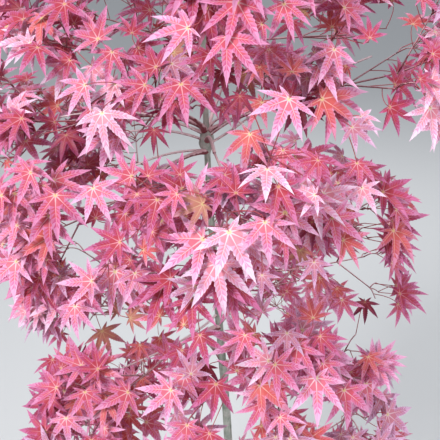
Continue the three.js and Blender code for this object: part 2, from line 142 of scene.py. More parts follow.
# The boughs' mesh: slight swellings along them, and the collar where they leave the trunk
BOUGH_SIDES = 10
BOUGH_PARTS = 5
BOUGH_SWELLING = 0.05
BOUGH_SWELLING_TURN = 1.9
COLLAR_SWELL = 1.9
COLLAR_LENGTH = 7

# Twigs of the part's rule
STEM_RADIUS = 1.7
TWIG_TIP_RADIUS = 1.15
TWIG_THINNING = 0.85
STEM_STEPS = 3
TWIG_PAIRS = 2
SIDE_TWIG_SHARE = 0.56
SIDE_TWIG_LOSS = 0.12
SIDE_TWIG_ANGLE = math.radians(52)
NODE_TURN = math.radians(80)
TWIG_WANDER = 0.13
TWIG_RISE = 0.02
TWIG_SHARE_SPREAD = 0.06
TWIG_TURN_SPREAD = 0.3
FORK_SHARE = 0.35
END_INSET = 1.5
END_STAGGER = 2.2
LEAF_STAGGER = 1.3
CENTRE_SHARE = 0.6
MASS_REACH = 240
FIRST_SEED = 100
SEED_STEP = 17
LEADER_SEED = 900
SEAT_GAP = 0.3
SPACE_MARGIN = 0.4
LIMB_MARGIN = 1.2
GROUND_CLEARANCE = 20

# The photo's camera: where it stands, how far it looks down, and its size and focal length in pixels
EYE = np.array([-26.0, -624.0, 1288.0])
CAMERA_PITCH = 27
FOCAL_PIXELS = 640
FRAME_PIXELS = 440
SENSOR_WIDTH = 36
CAMERA_SIGHT = 100
AHEAD = np.array([0, math.cos(math.radians(CAMERA_PITCH)), -math.sin(math.radians(CAMERA_PITCH))])
OVERHEAD = np.array([0, math.sin(math.radians(CAMERA_PITCH)), math.cos(math.radians(CAMERA_PITCH))])

# Clear lines of sight through the crown, as ellipses on the upright plane through the trunk
CLEARINGS = [
    dict(x=120, z=1142, half_wide=22, half_high=44),
    dict(x=148, z=850, half_wide=32, half_high=66),
    dict(x=-186, z=944, half_wide=24, half_high=36),
    dict(x=-160, z=832, half_wide=34, half_high=16),
    dict(x=-4, z=1052, half_wide=15, half_high=12),
    dict(x=-92, z=1079, half_wide=44, half_high=7),
    dict(x=70, z=1074, half_wide=24, half_high=9),
    dict(x=-30, z=806, half_wide=11, half_high=64),
    dict(x=-6, z=672, half_wide=22, half_high=30),
    dict(x=118, z=690, half_wide=26, half_high=30),
]

# Further clear sights, on the trunk and round its knob, which only the leaves here keep to
FINE_CLEARINGS = [
    dict(x=-38, z=1066, half_wide=17, half_high=20),
    dict(x=-38, z=1034, half_wide=9, half_high=16),
    dict(x=-32, z=862, half_wide=10, half_high=16),
    dict(x=-77, z=1059, half_wide=23, half_high=13),
    dict(x=-102, z=1042, half_wide=24, half_high=9),
    dict(x=-59, z=1036, half_wide=13, half_high=11),
    dict(x=-109, z=1034, half_wide=27, half_high=6),
]

# Gaps seen in the photo, to which the leaves here keep as well: the middle and half sizes in pixels
SEEN_GAPS = [
    dict(u=368, v=256, half_wide=16, half_high=16),
    dict(u=364, v=202, half_wide=10, half_high=12),
    dict(u=72, v=228, half_wide=14, half_high=22),
    dict(u=84, v=265, half_wide=16, half_high=14),
    dict(u=330, v=255, half_wide=9, half_high=12),
    dict(u=370, v=420, half_wide=14, half_high=14),
    dict(u=245, v=405, half_wide=12, half_high=20),
    dict(u=300, v=402, half_wide=8, half_high=10),
    dict(u=336, v=266, half_wide=12, half_high=12),
    dict(u=370, v=222, half_wide=13, half_high=14),
    dict(u=118, v=364, half_wide=15, half_high=11),
    dict(u=196, v=408, half_wide=10, half_high=9),
    dict(u=112, v=302, half_wide=12, half_high=12),
    dict(u=112, v=12, half_wide=15, half_high=12),
    dict(u=84, v=6, half_wide=10, half_high=8),
    dict(u=372, v=10, half_wide=13, half_high=12),
    dict(u=350, v=340, half_wide=12, half_high=20),
]
CLEARING_CORNERS = 2

# Finer shoots, and how much thinner than in the part the twigs are
SHOOT_LENGTH = (8, 24)
SHOOT_RADIUS = 0.75
SHOOT_TIP_RADIUS = 0.55
SHOOT_ROLL = math.pi / 3
SHOOT_UP = (-0.1, 0.5)
SHOOT_FRONT = (-0.15, 0.25)
SHOOT_BOW = 0.12
SHOOT_ROOT = 2
TWIG_REAL_THINNING = 0.62
TWIG_SIDES = 6
TWIG_PARTS = 3
MID_SITE_SHARES = (0.42, 0.74)

# Leaves: length is the middle lobe's, from the top of the stalk to its tip. A stalk starts along and
# away from its twig and bends into the blade, whose face turns up, out and to the front
LEAF_LENGTH = 33
LEAF_SPREAD = 0.22
YOUNG_LEAF_SHARE = 0.62
YOUNG_LEAF_CHANCE = 0.45
LEAF_ATTEMPTS = 9
LEAF_MARGIN = 0.6
LEAF_REACH = 1.1
BOX_SLACK = 6
LOW_CORNER = np.array(CAD_BOX[0]) / MM - BOX_SLACK
HIGH_CORNER = np.array(CAD_BOX[1]) / MM + BOX_SLACK
STALK_LENGTH = 24
STALK_RADIUS = 0.42
STALK_SWELL = 1.2
STALK_ALONG = 0.6
STALK_AWAY = 0.8
STALK_UP = (-0.2, 0.6)
STALK_FRONT = (-0.15, 0.25)
STALK_STRETCH = (0.75, 1.3)
STALK_RISE = -0.1
STALK_BEND = 0.35
STALK_SIDES = 3
STALK_JOINTS = 5
STALK_FREE_PARTS = 2
FACE_UP = (0.35, 1.0)
FACE_OUT = (-0.1, 0.5)
FACE_FRONT = (0.2, 0.9)
TIP_OUT = 0.4
TIP_SAG = 0.35
TIP_STRAY = (-1.0, 1.0)
TIP_STRAY_UP = (-0.5, 0.7)

# The flat leaf, one long: each lobe's angle and length, the notches' depths, and the stations along a
# lobe, with a tooth of the margin between each two
LOBES = [(-126, 0.38), (-83, 0.72), (-41, 0.93), (0, 1.0), (41, 0.93), (83, 0.72), (126, 0.38)]
NOTCHES = [0.16, 0.23, 0.27, 0.27, 0.23, 0.16]
NOTCH_FLATNESS = 3
HEEL_ANGLE = 160
HEEL_REACH = 0.07
LOBE_STATIONS = 8
LOBE_TAPER = 1.3
LOBE_BELLY = 0.23
MARGIN_SHARE = 0.93
TOOTH_REACH = 0.018
TOOTH_PLACE = 0.72
HUB_REACH = 0.045
VEIN_HALF_WIDTH = 0.009
VEIN_SHARE = 0.62
VEIN_LAG = 1.3
HEART_STATIONS = 3
# From this station to the tip a lobe shows the edge look: paler lilac tips, partly the leaf's own pale
# margin and partly painted highlight
PALE_STATIONS = 5

# How a leaf is bent: folded along its veins, drooping, warped and curled
FOLD = (0.3, 0.95)
DROOP = (0.05, 0.34)
WARP_TURN = 0.07
WARP_STRETCH = 0.08
WARP_WAVES = 2
CURL = 0.1
CURL_WAVES = 3

# What a face of the leaf shows; the edge look on the teeth and outer lobe is paler and lilac, the leaf's own
# pale margin with a painted highlight
LOOKS = ("blade", "rib", "vein", "edge_and_highlight", "hub", "heart")
BLADE, RIB, VEIN, EDGE_AND_HIGHLIGHT, HUB, HEART = range(len(LOOKS))

# Leaves that stand out in the photo: u and v are the pixel where the stalk meets the blade, lobe the
# middle lobe's length in pixels, aim the way it points there (0 is right, 90 is up), hang its droop
SEEN_LEAVES = [
    dict(u=181, v=84, lobe=44, aim=-82, hang=0.25, tint="pink"),
    dict(u=289, v=99, lobe=43, aim=-115, hang=0.2, tint="pale_pink"),
    dict(u=322, v=99, lobe=46, aim=-25, hang=0.25, tint="coral"),
    dict(u=102, v=113, lobe=42, aim=-85, hang=0.6, tint="blush"),
    dict(u=145, v=85, lobe=34, aim=-150, hang=0.2, tint="pink"),
    dict(u=227, v=37, lobe=46, aim=-50, hang=0.2, tint="pink"),
    dict(u=188, v=28, lobe=42, aim=-165, hang=0.2, tint="pale_pink"),
    dict(u=98, v=39, lobe=38, aim=122, hang=0.1, tint="pink"),
    dict(u=132, v=33, lobe=25, aim=80, hang=0.1, tint="rose"),
    dict(u=156, v=67, lobe=38, aim=150, hang=0.2, tint="rose"),
    dict(u=85, v=85, lobe=34, aim=-160, hang=0.3, tint="pale_pink"),
    dict(u=332, v=27, lobe=27, aim=95, hang=0.1, tint="coral"),
    dict(u=250, v=134, lobe=36, aim=-105, hang=0.5, tint="coral"),
    dict(u=283, v=150, lobe=32, aim=-90, hang=0.6, tint="pink"),
    dict(u=93, v=188, lobe=36, aim=-62, hang=0.15, tint="pale_pink"),
    dict(u=137, v=194, lobe=28, aim=-85, hang=0.2, tint="rose"),
    dict(u=236, v=193, lobe=33, aim=88, hang=0.1, tint="rose"),
    dict(u=203, v=204, lobe=33, aim=-160, hang=0.1, tint="bronze"),
    dict(u=180, v=175, lobe=23, aim=85, hang=0.1, tint="rose"),
    dict(u=229, v=232, lobe=52, aim=-66, hang=0.15, tint="blush"),
    dict(u=203, v=239, lobe=50, aim=-142, hang=0.15, tint="pale_pink"),
    dict(u=216, v=264, lobe=48, aim=-80, hang=0.6, tint="blush"),
    dict(u=265, v=222, lobe=40, aim=-85, hang=0.35, tint="pale_pink"),
    dict(u=284, v=240, lobe=28, aim=-85, hang=0.8, tint="pink"),
    dict(u=332, v=218, lobe=36, aim=-35, hang=0.3, tint="pink"),
    dict(u=343, v=240, lobe=33, aim=-20, hang=0.2, tint="coral"),
    dict(u=357, v=163, lobe=30, aim=-85, hang=0.4, tint="pink"),
    dict(u=315, v=195, lobe=30, aim=-165, hang=0.2, tint="blush"),
    dict(u=92, v=281, lobe=33, aim=-175, hang=0.1, tint="pale_pink"),
    dict(u=135, v=273, lobe=31, aim=-70, hang=0.1, tint="pale_pink"),
    dict(u=120, v=242, lobe=34, aim=-168, hang=0.1, tint="rose"),
    dict(u=143, v=250, lobe=23, aim=5, hang=0.1, tint="coral"),
    dict(u=314, v=262, lobe=25, aim=-90, hang=0.2, tint="mauve"),
    dict(u=75, v=306, lobe=31, aim=-90, hang=0.6, tint="pale_pink"),
    dict(u=102, v=331, lobe=27, aim=-65, hang=0.5, tint="bronze"),
    dict(u=184, v=325, lobe=29, aim=100, hang=0.1, tint="coral"),
    dict(u=200, v=335, lobe=29, aim=-75, hang=0.3, tint="rose"),
    dict(u=245, v=335, lobe=27, aim=-110, hang=0.2, tint="pink"),
    dict(u=287, v=333, lobe=28, aim=-95, hang=0.2, tint="mauve"),
    dict(u=313, v=318, lobe=27, aim=100, hang=0.1, tint="coral"),
    dict(u=320, v=336, lobe=27, aim=-45, hang=0.4, tint="rose"),
    dict(u=98, v=369, lobe=30, aim=140, hang=0.1, tint="rose"),
    dict(u=85, v=392, lobe=30, aim=-78, hang=0.2, tint="pink"),
    dict(u=128, v=392, lobe=35, aim=-150, hang=0.2, tint="pink"),
    dict(u=171, v=390, lobe=35, aim=-140, hang=0.15, tint="pale_pink"),
    dict(u=191, v=374, lobe=29, aim=80, hang=0.1, tint="mauve"),
    dict(u=237, v=371, lobe=32, aim=68, hang=0.1, tint="pink"),
    dict(u=216, v=384, lobe=36, aim=-98, hang=0.3, tint="rose"),
    dict(u=260, v=385, lobe=36, aim=-42, hang=0.3, tint="coral"),
    dict(u=261, v=404, lobe=34, aim=-75, hang=0.6, tint="pink"),
    dict(u=316, v=378, lobe=43, aim=-92, hang=0.15, tint="pale_pink"),
    dict(u=344, v=390, lobe=38, aim=-78, hang=0.5, tint="pink"),
    dict(u=366, v=384, lobe=34, aim=-80, hang=0.3, tint="pale_pink"),
    dict(u=187, v=425, lobe=32, aim=-95, hang=0.3, tint="pink"),
    dict(u=66, v=418, lobe=29, aim=-85, hang=0.5, tint="pale_pink"),
    dict(u=284, v=4, lobe=36, aim=-75, hang=0.3, tint="pink"),
    dict(u=262, v=24, lobe=32, aim=-165, hang=0.2, tint="pink"),
    dict(u=370, v=38, lobe=24, aim=95, hang=0.1, tint="rose"),
    dict(u=74, v=24, lobe=28, aim=75, hang=0.1, tint="rose"),
    dict(u=150, v=10, lobe=28, aim=-170, hang=0.2, tint="pink"),
    dict(u=178, v=8, lobe=34, aim=-60, hang=0.2, tint="pink"),
    dict(u=138, v=48, lobe=32, aim=-30, hang=0.3, tint="rose"),
    dict(u=70, v=60, lobe=30, aim=-140, hang=0.3, tint="rose"),
    dict(u=210, v=55, lobe=34, aim=-125, hang=0.3, tint="rose"),
    dict(u=238, v=52, lobe=36, aim=-50, hang=0.3, tint="pink"),
    dict(u=222, v=72, lobe=30, aim=-75, hang=0.4, tint="crimson"),
    dict(u=240, v=96, lobe=24, aim=-90, hang=0.4, tint="crimson"),
    dict(u=262, v=102, lobe=28, aim=-120, hang=0.3, tint="coral"),
    dict(u=222, v=108, lobe=20, aim=-20, hang=0.3, tint="pink"),
    dict(u=292, v=72, lobe=26, aim=95, hang=0.1, tint="coral"),
    dict(u=314, v=52, lobe=24, aim=-30, hang=0.2, tint="mauve"),
    dict(u=346, v=66, lobe=20, aim=-150, hang=0.5, tint="coral"),
    dict(u=66, v=135, lobe=28, aim=-60, hang=0.3, tint="crimson"),
    dict(u=148, v=176, lobe=24, aim=60, hang=0.1, tint="rose"),
    dict(u=177, v=194, lobe=25, aim=-140, hang=0.2, tint="pink"),
    dict(u=312, v=222, lobe=26, aim=-90, hang=0.3, tint="crimson"),
    dict(u=300, v=250, lobe=24, aim=-100, hang=0.3, tint="bronze"),
    dict(u=262, v=275, lobe=24, aim=-90, hang=0.3, tint="mauve"),
    dict(u=152, v=232, lobe=26, aim=-20, hang=0.2, tint="rose"),
    dict(u=160, v=316, lobe=26, aim=150, hang=0.1, tint="coral"),
    dict(u=182, v=350, lobe=26, aim=-120, hang=0.3, tint="rose"),
    dict(u=140, v=345, lobe=18, aim=-100, hang=0.2, tint="coral"),
    dict(u=118, v=310, lobe=17, aim=150, hang=0.1, tint="bronze"),
    dict(u=130, v=318, lobe=20, aim=10, hang=0.1, tint="bronze"),
    dict(u=262, v=312, lobe=22, aim=100, hang=0.1, tint="mauve"),
    dict(u=365, v=302, lobe=20, aim=-90, hang=0.4, tint="crimson"),
    dict(u=342, v=300, lobe=24, aim=-60, hang=0.2, tint="pink"),
    dict(u=154, v=130, lobe=22, aim=-90, hang=0.3, tint="crimson"),
    dict(u=112, v=52, lobe=32, aim=-100, hang=0.3, tint="pink"),
    dict(u=64, v=44, lobe=28, aim=-95, hang=0.3, tint="rose"),
    dict(u=205, v=92, lobe=26, aim=-60, hang=0.3, tint="rose"),
    dict(u=232, v=104, lobe=24, aim=-120, hang=0.3, tint="pink"),
    dict(u=292, v=22, lobe=26, aim=-100, hang=0.3, tint="rose"),
    dict(u=160, v=338, lobe=24, aim=-60, hang=0.2, tint="coral"),
    dict(u=168, v=357, lobe=24, aim=100, hang=0.1, tint="pink"),
    dict(u=126, v=58, lobe=28, aim=-20, hang=0.3, tint="pale_pink"),
    dict(u=92, v=66, lobe=30, aim=-40, hang=0.3, tint="blush"),
    dict(u=115, v=84, lobe=32, aim=-150, hang=0.35, tint="blush"),
    dict(u=362, v=188, lobe=28, aim=-60, hang=0.3, tint="blush"),
    dict(u=318, v=160, lobe=28, aim=-130, hang=0.2, tint="rose"),
]

# Thin boughs seen round the knob: height of the foot on the trunk, the pixels through which they
# arch and where they end, and how much nearer than the trunk the end is
SEEN_BOUGHS = [
    dict(z=1066, through=(138, 113), to=(60, 117), nearer=44),
    dict(z=1068, through=(163, 121), to=(112, 122), nearer=18),
    dict(z=1060, through=(168, 131), to=(124, 132), nearer=34),
    dict(z=1050, through=(164, 155), to=(118, 174), nearer=30),
    dict(z=1069, through=(224, 117), to=(250, 130), nearer=30),
    dict(z=1056, through=(230, 131), to=(252, 115), nearer=14),
    dict(z=1010, through=(241, 166), to=(268, 142), nearer=20),
    dict(z=1126, through=(236, 62), to=(281, 43), nearer=16),
    dict(z=1170, through=(219, 16), to=(227, -4), nearer=12),
    dict(z=1064, through=(262, 104), to=(372, 56), nearer=70),
    dict(z=848, through=(184, 339), to=(122, 368), nearer=40),
]
THIN_BOUGH_RADIUS = 1.45
THIN_BOUGH_TIP_RADIUS = 0.9
THIN_BOUGH_JOINTS = 7
THIN_BOUGH_SIDES = 8
THIN_BOUGH_PARTS = 2

# How a seen leaf is hung: its root's greatest distance, its lengths, how much nearer than its root it
# is, how its face turns, how many roots are tried, and how far from its middle other leaves may veil it
SEEN_REACH = 52
SEEN_LENGTHS = (18, 48)
SEEN_STRETCH = 1.12
SEEN_PULL = (2, 22)
SEEN_UP = (0.15, 0.55)
SEEN_ASIDE = (-0.3, 0.3)
SEEN_TRIES = 60
SEEN_SEED = 5100
VEIL_SHARE = 0.7
USUAL_STALK = 24
STALK_CARE = 2

# Shoots and side twigs that carry nothing beyond this share of their first part are taken away
PRUNE_ROUNDS = 2
PRUNE_FROM = 0.35
PRUNE_REACH = 1.5

# Tints of the leaves: a colour for each of LOOKS. The edge colour, paler and bluer than the blade, is the
# leaf's pale margin with a painted highlight
TINTS = {
    "blush": ("e69ac2", "edb2d2", "f3d2dc", "f3d2e8", "ecdcae", "e88ea2"),
    "pale_pink": ("da79ac", "e394be", "ecc0ca", "ebb1d3", "e8d0a0", "db6e84"),
    "pink": ("cb5988", "d4749e", "e3a5b0", "dc8fb8", "e2c08c", "ce5268"),
    "rose": ("b23d66", "be527c", "d28898", "ca729f", "d6a87c", "b73b4e"),
    "coral": ("cc5767", "d66f80", "e5a59e", "df90b0", "e6c890", "d25b5a"),
    "crimson": ("872144", "943353", "aa5866", "90385e", "b17e5c", "93283a"),
    "mauve": ("b66e94", "c188aa", "d2aab8", "d2a9c8", "cfb890", "bc7084"),
    "bronze": ("ac6262", "b7746e", "c89a7c", "bf7b8c", "caae78", "b77462"),
}

# How the tints are dealt: pale ones are likelier far from the trunk, dark and warm ones near it, where they
# stand partly for older leaves and partly for painted shade inside the crown
OUTER_TINTS = ("blush", "pale_pink", "pale_pink", "pink", "pink", "rose", "rose", "coral", "mauve")
INNER_AND_SHADED_TINTS = ("rose", "crimson", "coral", "crimson", "rose", "bronze", "pink", "pale_pink")
OUTER_SHARE = 0.1
OUTER_REACH = 210
SPRAY_SHARE = 0.5
TINT_SEED = 4713

# Leaf skin: gloss that varies, and puckers; scales are in waves a metre and depths in metres
LEAF_ROUGHNESS = 0.5
LEAF_SPECULAR = 0.35
LEAF_SHEEN = 0.12
GLOSS_SCALE = 140
GLOSS_DETAIL = 2
GLOSS_STOPS = (0.3, 0.7)
GLOSS_CHANGE = (-0.08, 0.1)
PUCKER = dict(scale=900, detail=2, strength=0.25, depth=0.0006)
STALK_COLOUR = "b8505e"
STALK_ROUGHNESS = 0.45

# Bark: the trunk's mottled tones and upright streaks, and young bark that is paler where it faces up: a pale
# bloom with a painted highlight from the light above
TRUNK_TONES = ("78887a", "a9b1a6", "d9d2d0")
TRUNK_STREAK = "6f7d70"
TRUNK_ROUGHNESS = 0.75
MOTTLE = dict(scale=110, detail=4, stops=(0.3, 0.5, 0.7))
STREAKS = dict(scale=220, detail=3, stretch=(1, 1, 0.3), stops=(0.42, 0.58), strength=0.5, depth=0.0008)
STREAK_SHARE = 0.5
BLOOM_AND_HIGHLIGHT_UP = 0.5
BLOOM_AND_HIGHLIGHT_SCALE = 220
BLOOM_AND_HIGHLIGHT_DETAIL = 3
YOUNG_GRAIN = dict(scale=900, detail=3, strength=0.3, depth=0.0004)
# Young bark: below is the bark's own colour; above and its stops make up-facing faces paler, a painted
# highlight together with the bark's bloom
BOUGH_BARK = dict(below="701a2a", above="e2c2c6", bloom_and_highlight=(0.45, 0.75), roughness=0.45)
TWIG_BARK = dict(below="6f1c2a", above="d0a2aa", bloom_and_highlight=(0.45, 0.8), roughness=0.4)
THIN_BOUGH_BARK = dict(below="842c3e", above="f2dfe2", bloom_and_highlight=(0.2, 0.6), roughness=0.4)

# The studio, in metres, degrees and watts
FLOOR_SIZE = 60
FLOOR_COLOUR = "d9dadb"
FLOOR_ROUGHNESS = 0.9
WORLD_COLOUR = "e4e9f0"
WORLD_STRENGTH = 0.5
LIGHTS = [
    dict(name="key", place=(-1.4, -1.9, 3.2), turn=(38, 0, -36), size=0.9, power=88),
    dict(name="fill", place=(1.9, -1.6, 2.2), turn=(55, 0, 50), size=2.0, power=30),
    dict(name="back", place=(0.4, 2.2, 2.6), turn=(-50, 0, 0), size=2.0, power=30),
]


def seeded(seed):
    """Chance by the part's rule: the same numbers on every run."""
    state = seed

    def chance(low, high):
        nonlocal state
        state = (state * CHANCE_FACTOR + CHANCE_STEP) % CHANCE_SPAN
        return low + (high - low) * state / CHANCE_SPAN

    chance(0, 1)
    return chance


def unit(vector):
    return vector / np.linalg.norm(vector)


def drawn(chance, spans):
    """A vector whose parts are drawn one by one, each from its own span."""
    return np.array([chance(*span) for span in spans])


def square_to(vector, direction):
    """What is left of a vector square to a direction, made one long."""
    return unit(vector - direction * vector.dot(direction))


def heading_of(azimuth, elevation):
    level = math.cos(elevation)
    return np.array([math.cos(azimuth) * level, math.sin(azimuth) * level, math.sin(elevation)])


# The trunk's line and radius
def sway_at(z):
    return TRUNK_SWAY * np.sin(2 * np.pi * (z - SWAY_START) / SWAY_LENGTH)


def trunk_point(z):
    quarter = SWAY_LENGTH / 4
    x = sway_at(z) - sway_at(0) - TRUNK_LEAN * z
    y = TRUNK_SWAY_DEPTH / TRUNK_SWAY * (sway_at(z + quarter) - sway_at(quarter))
    return np.array([x, y, z], float)


def knob_at(z):
    return np.exp(-(((z - KNOB_HEIGHT) / KNOB_HALF_LENGTH) ** KNOB_SQUARENESS))


def trunk_radius(z):
    taper = max(0, 1 - z / TRUNK_TOP) ** TRUNK_TAPER
    return TRUNK_TIP_RADIUS + (TRUNK_BASE_RADIUS - TRUNK_TIP_RADIUS) * taper + KNOB_SWELL * knob_at(z)


# Boughs, as the part has them
def bough_plan():
    plan = []
    for i, level in enumerate(LEVELS, 1):
        for half, lift, turn, reach in (("a", 0, 0, 0), ("b", PAIR_RISE, 180, 1)):
            bough = dict(level, name=f"level{i}_{half}", z=level["z"] + lift)
            bough.update(azimuth=level["azimuth"] + turn, reach=level["reach"][reach])
            plan.append(bough)
    for i, bough in enumerate(WHORL, 1):
        plan.append(dict(bough, name=f"whorl_{i}", z=KNOB_HEIGHT + bough["above"]))
    return [arched_bough(SimpleNamespace(**bough)) for bough in plan]


def arched_bough(bough):
    length = BOUGH_SHARE * bough.reach + trunk_radius(bough.z)
    line = [trunk_point(bough.z)]
    for i in range(BOUGH_STEPS):
        share = ((i + 0.5) / BOUGH_STEPS) ** BOUGH_ARCH
        slope = math.radians(bough.rise + (bough.end - bough.rise) * share)
        line.append(line[i] + heading_of(math.radians(bough.azimuth), slope) * length / BOUGH_STEPS)
    base = BOUGH_MIDDLE_RADIUS + BOUGH_THICKENING * (1 - bough.z / TRUNK_TOP)
    bough.line = line
    bough.radii = [base + (BOUGH_TIP_RADIUS - base) * i / BOUGH_STEPS for i in range(BOUGH_STEPS + 1)]
    return bough


class Rods:
    """Limbs as round-ended rods, which twigs and leaves keep clear of."""

    def __init__(self):
        self.starts, self.ends, self.radii = [], [], []

    def add(self, start, end, radius):
        self.starts.append(start)
        self.ends.append(end)
        self.radii.append(radius)

    def near(self, centre, reach):
        """Those of them that come near a mass."""
        some = Rods()
        for start, end, radius in zip(self.starts, self.ends, self.radii):
            if min(np.linalg.norm(start - centre), np.linalg.norm(end - centre)) < reach:
                some.add(start, end, radius)
        return some

    def clear_of(self, starts, ends, room):
        """Whether straight pieces keep further than room from every rod."""
        if not self.starts:
            return True
        a, b = np.atleast_2d(starts)[:, None], np.atleast_2d(ends)[:, None]
        c, d = np.array(self.starts)[None], np.array(self.ends)[None]
        return bool((gaps_between(a, b, c, d) > np.array(self.radii) + room).all())


def gaps_between(a, b, c, d):
    """Shortest distances between the straight pieces a-b and c-d."""
    u, v, w = b - a, d - c, a - c
    uu, uv, vv, uw, vw = [(p * q).sum(-1) for p, q in ((u, u), (u, v), (v, v), (u, w), (v, w))]
    scale = uu * vv - uv * uv
    near = np.clip((uv * vw - vv * uw) / np.maximum(scale, TINY), 0, 1)
    near = np.where(scale < TINY, 0, near)
    t = np.clip((uv * near + vw) / vv, 0, 1)
    s = np.clip((uv * t - uw) / uu, 0, 1)
    return np.linalg.norm(w + u * s[..., None] - v * t[..., None], axis=-1)


def limb_rods(boughs):
    rods = Rods()
    for z in range(0, TRUNK_TOP, ROD_STEP):
        end = min(TRUNK_TOP, z + ROD_STEP)
        rods.add(trunk_point(z), trunk_point(end), max(trunk_radius(z), trunk_radius(end)))
    for bough in boughs:
        for start, end, radius in zip(bough.line, bough.line[1:], bough.radii):
            rods.add(start, end, radius)
    return rods


def crosses(starts, ends, triangles):
    """Whether any of the straight pieces goes through any of the triangles."""
    along = (ends - starts)[:, None]
    corner = triangles[:, 0]
    first, second = triangles[:, 1] - corner, triangles[:, 2] - corner
    h = np.cross(along, second[None])
    scale = (first[None] * h).sum(-1)
    scale = np.where(abs(scale) < TINY, np.inf, scale)
    s = starts[:, None] - corner[None]
    k = np.cross(s, first[None])
    u = (s * h).sum(-1) / scale
    v = (along * k).sum(-1) / scale
    t = (second[None] * k).sum(-1) / scale
    inside = np.isfinite(scale) & (u >= 0) & (v >= 0) & (u + v <= 1) & (t >= 0) & (t <= 1)
    return bool(inside.any())


# Masses: the space, twigs and leaves of each
class Mass:
    """The foliage on a bough's tip or the trunk's: its own space, and what grows in it."""

    def __init__(self, name, seed, tip, heading, length):
        self.name, self.seed, self.heading, self.length = name, seed, heading, length
        self.start = tip + heading * SEAT_GAP
        self.centre = tip + heading * CENTRE_SHARE * length
        self.chance = seeded(seed)
        self.twigs, self.thin_boughs, self.sites, self.leaves = [], [], [], []

    def keep_to(self, centres):
        """Its space is all that lies nearer to its own centre than to any other's."""
        others = centres[np.linalg.norm(centres - self.centre, axis=1) > TINY]
        outward = others - self.centre
        self.walls = outward / np.linalg.norm(outward, axis=1)[:, None]
        self.limits = ((others + self.centre) / 2 * self.walls).sum(1)

    def holds(self, points, room=0.0):
        points = np.atleast_2d(points)
        inside = points @ self.walls.T < self.limits - SPACE_MARGIN - room
        return bool(inside.all() and (points[:, 2] > GROUND_CLEARANCE + room).all())


def mass_plan(boughs):
    masses = []
    for i, bough in enumerate(boughs):
        before, tip = bough.line[-2:]
        length = (1 - BOUGH_SHARE) * bough.reach
        seed = FIRST_SEED + SEED_STEP * i
        masses.append(Mass(f"{bough.name}_leaves", seed, tip, unit(tip - before), length))
    masses.append(Mass("leader_leaves", LEADER_SEED, trunk_point(TRUNK_TOP), UP.copy(), LEADER_LENGTH))
    centres = np.array([mass.centre for mass in masses])
    for mass in masses:
        mass.keep_to(centres)
    return masses


def twig_line(mass, start, heading, length, radius, steps):
    line = [start.copy()]
    along = heading.copy()
    for i in range(steps):
        wander = [mass.chance(-TWIG_WANDER, TWIG_WANDER) for _ in range(3)]
        along = unit(along + wander + UP * TWIG_RISE)
        end = line[i] + along * length / steps
        start_of_test = line[i] + (end - line[i]) * (0 if i else FORK_SHARE)
        if not mass.holds(end, radius):
            break
        if not mass.limbs.clear_of(start_of_test, end, radius + LIMB_MARGIN):
            break
        line.append(end)
    return line


def level_side(along):
    """The level direction square to a twig, from which the turn of each pair is counted."""
    return square_to(np.cross(UP, along) if abs(along[2]) < STEEP else FRONT, along)


def turned_side(along, roll):
    """The direction square to a twig that lies that far round it from its level side."""
    level = level_side(along)
    return level * math.cos(roll) + np.cross(along, level) * math.sin(roll)


def grow_twig(mass, start, heading, length, radius, order):
    """A twig, the side twigs at its joints, as often over as order says, and its places for leaves."""
    line = twig_line(mass, start, heading, length, radius, STEM_STEPS if order else 1)
    if len(line) < 2:
        return
    mass.twigs.append(SimpleNamespace(line=line, radius=radius, stem=bool(order)))
    turn = mass.chance(-TWIG_TURN_SPREAD, TWIG_TURN_SPREAD)
    for i in range(1, len(line)):
        along = unit(line[i] - line[i - 1])
        side = turned_side(along, turn + (i - 1) * NODE_TURN)
        last = i + 1 == len(line)
        root = line[i] - along * (END_INSET if last else 0)
        for hand in (1, -1):
            away = side * hand
            if order and not last and i <= TWIG_PAIRS:
                spread = mass.chance(-TWIG_SHARE_SPREAD, TWIG_SHARE_SPREAD)
                share = SIDE_TWIG_SHARE - SIDE_TWIG_LOSS * (i - 1) + spread
                branch = away * math.sin(SIDE_TWIG_ANGLE) + along * math.cos(SIDE_TWIG_ANGLE)
                grow_twig(mass, root, branch, length * share, TWIG_THINNING * radius, order - 1)
            else:
                shift = LEAF_STAGGER * hand - (END_STAGGER if last else 0)
                mass.sites.append((root + along * shift, along, away))
        if last:
            mass.sites.append((root, along, along))


def middle_sites(mass):
    """Joints along the twigs, between those of the part's rule, with a pair of leaves each."""
    sites = []
    for twig in mass.twigs:
        start, end = np.array(twig.line[-2]), np.array(twig.line[-1])
        along = unit(end - start)
        for i, share in enumerate(MID_SITE_SHARES):
            side = turned_side(along, mass.chance(-TWIG_TURN_SPREAD, TWIG_TURN_SPREAD) + i * NODE_TURN)
            sites += [(start + (end - start) * share, along, side * hand) for hand in (1, -1)]
    return sites


def grow_shoot(mass, site):
    """A short shoot at a joint. It gives the places of its leaves with their sizes: a pair on its end
    and a young one between, or the joint alone where there is no room for a shoot."""
    root, along, away = site
    lean = UP * mass.chance(*SHOOT_UP) + FRONT * mass.chance(*SHOOT_FRONT)
    heading = unit(STALK_ALONG * along + STALK_AWAY * away + lean)
    length = mass.chance(*SHOOT_LENGTH)
    side = turned_side(heading, mass.chance(-SHOOT_ROLL, SHOOT_ROLL))
    end = root + heading * length
    start = root + heading * SHOOT_ROOT
    if not mass.holds(end, SHOOT_RADIUS) or not mass.limbs.clear_of(start, end, LIMB_MARGIN):
        return [(site, 1.0)]
    middle = (root + end) / 2 + UP * length * SHOOT_BOW
    mass.twigs.append(SimpleNamespace(line=[root, middle, end], radius=SHOOT_RADIUS, stem=False))
    pair = [((end - heading, heading, side * hand), 1.0) for hand in (1, -1)]
    return pair + [((end, heading, heading), YOUNG_LEAF_SHARE)]


# The flat leaf
def leaf_point(angle, reach):
    turn = math.radians(angle)
    return np.array([reach * math.cos(turn), reach * math.sin(turn)])


def lobe_width(share, notch_width, length):
    return (1 - share) ** LOBE_TAPER * (notch_width + LOBE_BELLY * length * share)


